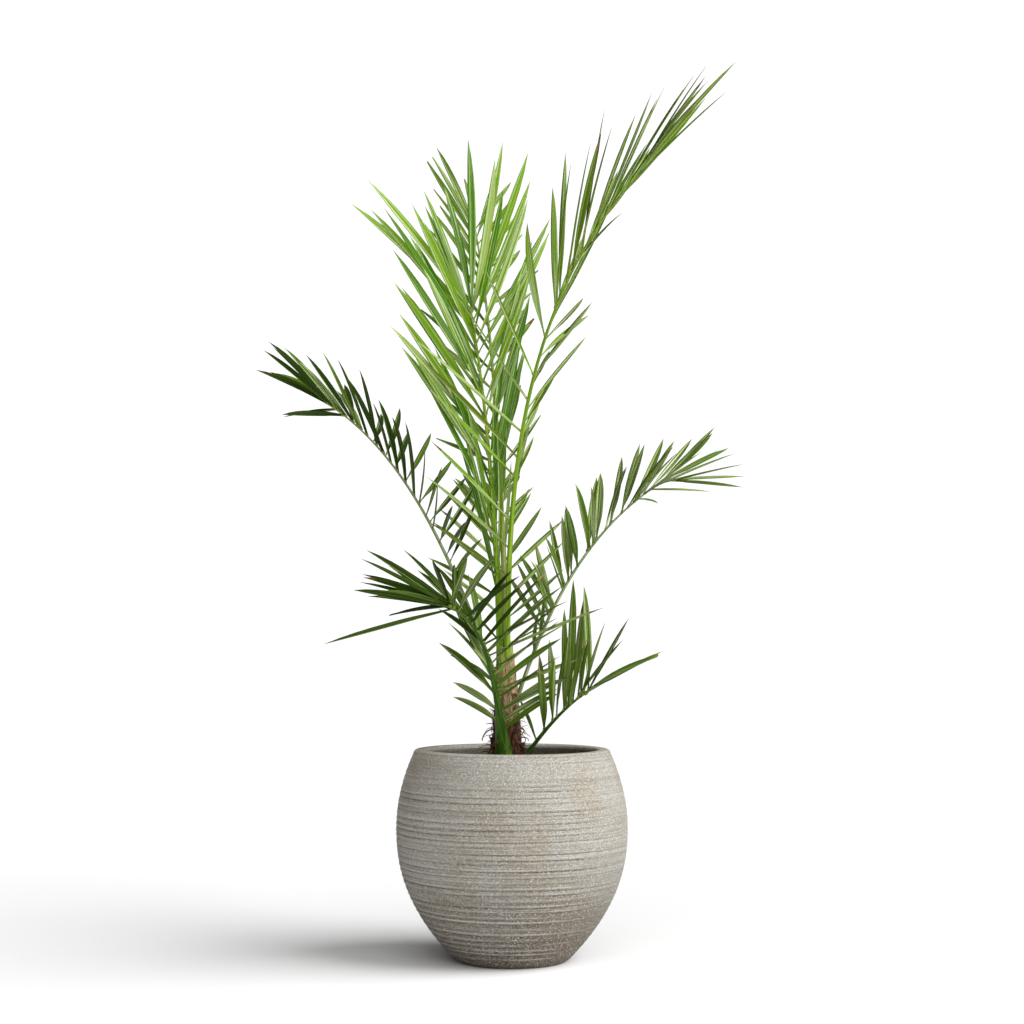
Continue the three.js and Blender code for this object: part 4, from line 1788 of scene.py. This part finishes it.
    def build(self, palette: Palette, template: Blade, obstacles: Obstacles, rib: Mesh) -> None:
        """Builds the frond's pieces, keeps each leaflet clear of the others and adds it to the obstacles.

        Args:
            palette: The materials.
            template: The leaf blade.
            obstacles: The trunk, the spear, all ribs and the leaflets of the fronds so far.
            rib: The rib's mesh, which is used up.
        """
        blades = bmesh.new()
        others = obstacles.around(self.name)
        skipped = 0
        for leaflet in self.leaflets():
            at = self.at(leaflet.share)
            stance, half = self.stance(at), self.rib_half(at)
            for turn in WILD.turns:
                placed = template.points(leaflet, stance, half, turn)
                if not others.overlap(BVHTree.FromPolygons(placed, template.polygons)):
                    break
            else:
                skipped += 1
                continue
            template.add(blades, placed, leaflet, palette.tones)
            obstacles.add(self.name, placed, template.polygons)
            if leaflet.side:
                append(rib, self._joint(leaflet, stance, half), 1)
        leaves = palette.pick(*(tone.value for tone in palette.tones))
        stems = palette.pick(self.stem_finish, "leaflet_joint")
        finish_piece(self.name + "_leaflets", blades, leaves, [self.name])
        finish_piece(self.name + "_rib", rib, stems, [self.name])
        LOG.info("%s: %d leaflets skipped", self.name, skipped)


def make_fronds() -> list[Frond]:
    """Returns the eight fronds with the source's values and the looks of each."""
    bright, fresh, mid, olive = Tone.BRIGHT, Tone.FRESH, Tone.MID, Tone.OLIVE
    dark, grey, pale = Tone.DARK, Tone.GREY, Tone.PALE_SHEEN
    return [
        Frond(
            name="frond_tall_right", slot="frond_mid_green", azimuth=-46, turn=4, foot=Foot(-80, 9, 440),
            stalk=125, blade=655, stem=5.4, lean=(1, 58), bend=1.8, roll=(14, -16), crowding=1.3,
            leaflet=228, first=0.62, last=0.93, half_width=6.5, seed=327,
            right=Row(18, 0, (58, 62, 52, 26, 15), (25, 18, 8, 20, 25)),
            left=Row(16, 0.18, (66, 70, 80, 68, 38), (52, 46, 30, 33, 28)),
            stem_finish="stem_bright", closed_until=0.3, turned=0.9,
            tones=(
                (pale, bright, 4), (bright, mid, 3), (grey, pale, 2), (pale, olive, 3), (bright, olive, 2),
            ),
            sprays=(
                Spray(-1, 6, (0.65, 0.95), (24, 15), (12, 26), (228, 190), 7.0),
                Spray(1, 3, (0.6, 0.9), (30, 16), (25, 28), (230, 200), 7.0),
                Spray(1, 2, (0.4, 0.48), (60, 60), (25, 25), (240, 235), 7.0),
            ),
        ),
        Frond(
            name="frond_upright_front", slot="frond_bright_green", azimuth=112, turn=7,
            foot=Foot(200, 9, 440), stalk=110, blade=460, stem=5.4,
            lean=(4, 19), bend=1.1, roll=(12, 8), crowding=1.2,
            leaflet=230, first=0.87, last=1.2, half_width=8, seed=300,
            right=Row(18, 0, (4, 8, 18, 32, 25), (10, 13, 16, 21, 29)),
            left=Row(18, 0, (5, 18, 38, 28, 35), (13, 14, 17, 18, 18)),
            stem_finish="stem_bright", closed_until=0.35, turned=0.2, dry_tips=0.02,
            tones=(
                (bright, fresh, 6), (fresh, fresh, 2), (pale, bright, 3), (bright, bright, 3),
                (fresh, mid, 1),
            ),
            sprays=(
                Spray(-1, 3, (1, 1), (9, 27), (45, 20), (310, 310)),
                Spray(1, 4, (0.4, 0.7), (36, 33), (16, 18), (240, 260)),
                Spray(1, 3, (0.85, 0.95), (12, 12), (2, 10), (235, 245)),
            ),
        ),
        Frond(
            name="frond_upright_back", slot="frond_mid_green", azimuth=98, turn=6, foot=Foot(80, 9, 440),
            stalk=200, blade=590, stem=5.2, lean=(12, 36), bend=1.6, roll=(0, -15), crowding=1.3,
            leaflet=148, first=0.8, last=1.05, half_width=6.5, seed=205,
            right=Row(15, 0.1, (22, 30, 38, 40, 26), (4, -2, -8, -8, 8)),
            left=Row(15, 0.1, (85, 80, 58, 42, 35), (50, 44, 22, 12, 22)),
            stem_finish="stem_mid", blunt=0.35,
            tones=((pale, mid, 3), (fresh, mid, 3), (olive, mid, 2), (fresh, fresh, 1)),
        ),
        Frond(
            name="frond_arching_left", slot="frond_dark_green", azimuth=150, turn=4, foot=Foot(140, 14, 409),
            stalk=170, blade=388, stem=5.4, lean=(24, 61), bend=2.1, roll=(0, -12), crowding=1.35,
            leaflet=157, first=0.82, last=0.95, half_width=6.5, seed=302,
            right=Row(13, 0.1, (44, 62, 62, 46, 25), (37, 27, 20, 16, 14)),
            left=Row(20, 0.05, (90, 86, 76, 68, 55), (44, 39, 32, 26, 12)),
            stem_finish="stem_grey", turned=0.85,
            # Mostly dark greens, partly painted shade: this frond stands on the shaded left.
            tones=((dark, dark, 3), (grey, dark, 4), (mid, dark, 3), (grey, mid, 2)),
            sprays=(
                Spray(1, 2, (0.9, 1), (70, 55), (-30, -5), (110, 135), 7.0),
                Spray(-1, 1, (0.95, 0.95), (35, 35), (-45, -45), (130, 130)),
            ),
        ),
        Frond(
            name="frond_arching_right", slot="frond_grey_green", azimuth=28, turn=-12, foot=Foot(10, 14, 386),
            stalk=80, blade=353, stem=5.4, lean=(22, 61), bend=1.55, roll=(10, 5), crowding=1.4,
            leaflet=138, first=0.85, last=1.05, half_width=7.8, seed=323,
            right=Row(19, 0, (78, 74, 72, 70, 56), (32, 43, 36, 28, -22)),
            left=Row(13, 0.1, (60, 46, 38, 34, 18), (44, 48, 48, 43, 38)),
            stem_finish="stem_grey", turned=0.9,
            tones=((grey, mid, 3), (pale, grey, 4), (pale, mid, 2), (fresh, mid, 2)),
            sprays=(
                Spray(-1, 3, (0.85, 1), (100, 60), (-5, -30), (140, 140), 7.0),
                Spray(1, 2, (0.1, 0.2), (56, 56), (54, 50), (114, 118)),
                Spray(-1, 2, (0.2, 0.3), (75, 80), (45, 42), (116, 122)),
            ),
        ),
        Frond(
            name="frond_low_left", slot="frond_dark_green", azimuth=-126, turn=-4, foot=Foot(-100, 20, 285),
            stalk=60, blade=230, stem=8, lean=(10, 80), bend=2.5, roll=(-14, 8), crowding=1.7,
            leaflet=168, first=0.65, last=0.98, half_width=7.5, seed=82,
            right=Row(15, 0.1, (80, 62, 74, 76, 72), (29, 36, 40, 38, -4)),
            left=Row(13, 0, (66, 68, 68, 60, 42), (6, 6, 18, 12, 30)),
            stem_finish="stem_dark", dry_tips=0.15, turned=0.8, pale_until=0.6, slim=0.95,
            sheath=2.2, sheath_length=95,
            # Mostly dark greens, partly painted shade: this frond stands on the shaded left.
            tones=((dark, dark, 5), (grey, dark, 3), (mid, dark, 3), (grey, mid, 1)),
            sprays=(
                Spray(1, 8, (0.05, 0.6), (64, 56), (6, 16), (106, 180), 7.5),
                Spray(1, 1, (0.5, 0.5), (75, 75), (16, 16), (215, 215), 7.5),
                Spray(-1, 3, (0.05, 0.6), (78, 86), (30, 30), (125, 150), 7.5),
                Spray(-1, 3, (0.9, 0.97), (70, 90), (20, 0), (190, 180), 7.0),
                Spray(-1, 1, (1, 1), (105, 105), (-8, -8), (165, 165), 7.0, blunt=0.6),
                Spray(-1, 1, (0.95, 0.95), (45, 45), (-50, -50), (200, 200), 5.0, bow=0.0),
            ),
        ),
        Frond(
            name="frond_low_right", slot="frond_grey_green", azimuth=-35, turn=4, foot=Foot(-20, 20, 295),
            stalk=40, blade=120, stem=6.5, lean=(42, 62), bend=2, roll=(-14, -14), crowding=1.3,
            leaflet=160, first=0.75, last=1, half_width=7.5, seed=10,
            right=Row(8, 0.2, (48, 50, 42, 36, 30), (36, 33, 38, 41, 44)),
            left=Row(7, 0, (92, 74, 66, 68, 74), (46, 50, 56, 58, 56)),
            stem_finish="stem_dark", dry_tips=0.2, turned=0.85, slim=0.85,
            tones=((grey, grey, 4), (mid, mid, 3), (grey, mid, 3), (pale, mid, 2)),
            sprays=(
                Spray(-1, 1, (0.95, 0.95), (4, 4), (43, 43), (136, 136), 12.0, blunt=0.7, bow=0.12),
                Spray(-1, 1, (0.8, 0.8), (25, 25), (30, 30), (160, 160)),
                Spray(1, 1, (0.65, 0.65), (60, 60), (58, 58), (205, 205)),
            ),
        ),
        Frond(
            name="frond_low_back", slot="frond_mid_green", azimuth=100, turn=0, foot=Foot(90, 16, 380),
            stalk=90, blade=260, stem=5.4, lean=(8, 50), bend=1.2, roll=(0, 0), crowding=1.3,
            leaflet=140, first=0.7, last=0.7, half_width=6, seed=8,
            right=Row(10, 0, (62, 56, 48, 38, 26), (24, 20, 20, 20, 20)),
            left=Row(10, 0, (62, 56, 48, 38, 26), (24, 20, 20, 20, 20)),
            stem_finish="stem_mid",
            tones=((pale, mid, 3), (grey, mid, 2), (mid, mid, 2)),
        ),
    ]


def build_crown(palette: Palette, trunk: Trunk, standing: Sequence[Piece]) -> None:
    """Builds the fronds in the source's order, with every rib laid before the first leaflet.

    Args:
        palette: The materials.
        trunk: The trunk that the fronds grow from.
        standing: The pieces that no leaflet may touch.
    """
    fronds = make_fronds()
    obstacles = Obstacles()
    ribs: dict[str, Mesh] = {}
    for frond in fronds:
        frond.grow_rib(trunk)
        rib = frond.rib_mesh()
        rib.verts.index_update()
        polygons = [tuple(vert.index for vert in face.verts) for face in rib.faces]
        obstacles.add(frond.name, [vert.co.copy() for vert in rib.verts], polygons)
        ribs[frond.name] = rib
    for piece in standing:
        polygons = [tuple(polygon.vertices) for polygon in piece.data.polygons]
        obstacles.add(piece.name, [vert.co.copy() for vert in piece.data.vertices], polygons)
    template = Blade()
    for frond in fronds:
        frond.build(palette, template, obstacles, ribs[frond.name])
    bpy.data.meshes.remove(template.mesh)


# The studio


@dataclass(frozen=True)
class Sun:
    """A soft sun: where it stands, in degrees, its strength and how wide it looks."""

    name: str
    azimuth: float
    height: float
    strength: float
    angle: float


@dataclass
class Studio:
    """The pale floor, the soft light and the camera at the photograph's angle, in metres."""

    camera_back: float = 2.75
    camera_high: float = 0.485
    camera_pitch: float = 3.88
    camera_reach: float = 200.0
    sensor: float = 36.0
    lens: float = 63.6
    floor_radius: float = 40.0
    floor_sides: int = 64
    floor_greys: Pair = (0.8, 0.82)
    suns: tuple[Sun, ...] = (Sun("side_sun", -16, 40, 3.65, 50), Sun("front_sun", -76, 46, 2.0, 76))
    sky: float = 0.08
    sheen_sky: float = 0.2
    seen_sky: float = 1.1

    def _floor(self) -> None:
        """Lays the floor."""
        mesh = bmesh.new()
        bmesh.ops.create_circle(mesh, cap_ends=True, segments=self.floor_sides, radius=self.floor_radius)
        data = bpy.data.meshes.new("studio_floor")
        mesh.to_mesh(data)
        mesh.free()
        floor = bpy.data.objects.new("studio_floor", data)

        def build(graph: Graph) -> tuple[Socket, None]:
            """Adds a faint unevenness."""
            dark, light = ((grey, grey, grey) for grey in self.floor_greys)
            return graph.blend(graph.cloud(graph.object_place(), 3.0), dark, light), None

        data.materials.append(shade("studio_floor", 0.9, 0.0, build))
        bpy.context.scene.collection.objects.link(floor)

    def _light(self) -> None:
        """Hangs the soft suns and sets the even sky."""
        for sun in self.suns:
            lamp = bpy.data.lights.new(sun.name, "SUN")
            lamp.energy = sun.strength
            lamp.angle = math.radians(sun.angle)
            light = bpy.data.objects.new(sun.name, lamp)
            height = math.radians(sun.height)
            towards = around(math.radians(sun.azimuth))[0] * math.cos(height) + UP * math.sin(height)
            light.rotation_euler = towards.to_track_quat("Z", "Y").to_euler()
            bpy.context.scene.collection.objects.link(light)
        world = bpy.data.worlds.new("studio_sky")
        bpy.context.scene.world = world
        world.use_nodes = True
        graph = Graph(world.node_tree)
        path = graph.add("LightPath").outputs
        sheen = graph.add("Mix", {0: path["Is Glossy Ray"], 2: self.sky, 3: self.sheen_sky}).outputs[0]
        seen = graph.add("Mix", {0: path["Is Camera Ray"], 2: sheen, 3: self.seen_sky}).outputs[0]
        background = graph.add("Background", {"Color": (1.0, 1.0, 1.0), "Strength": seen})
        graph.add("OutputWorld", {"Surface": background.outputs[0]})

    def _camera(self) -> None:
        """Sets the camera."""
        data = bpy.data.cameras.new("studio_camera")
        data.sensor_fit = "HORIZONTAL"
        data.sensor_width = self.sensor
        data.lens = self.lens
        data.clip_end = self.camera_reach
        camera = bpy.data.objects.new("studio_camera", data)
        camera.location = (0.0, -self.camera_back, self.camera_high)
        camera.rotation_euler = (math.radians(90.0 + self.camera_pitch), 0.0, 0.0)
        bpy.context.scene.collection.objects.link(camera)
        bpy.context.scene.camera = camera

    def build(self) -> None:
        """Builds the studio."""
        self._floor()
        self._light()
        self._camera()
        bpy.context.scene.view_settings.view_transform = "Standard"


def main() -> None:
    """Builds the palm piece by piece around the frame."""
    logging.basicConfig(level=logging.INFO, format="%(name)s: %(message)s")
    Studio().build()
    palette = Palette(Effects())
    planter = Planter()
    planter.build(palette)
    Soil(planter).build(palette)
    trunk = Trunk()
    standing = [trunk.build(palette), SpearLeaf(trunk).build(palette)]
    LeafBases(trunk).build(palette)
    build_crown(palette, trunk, standing)


if __name__ == "__main__":
    main()
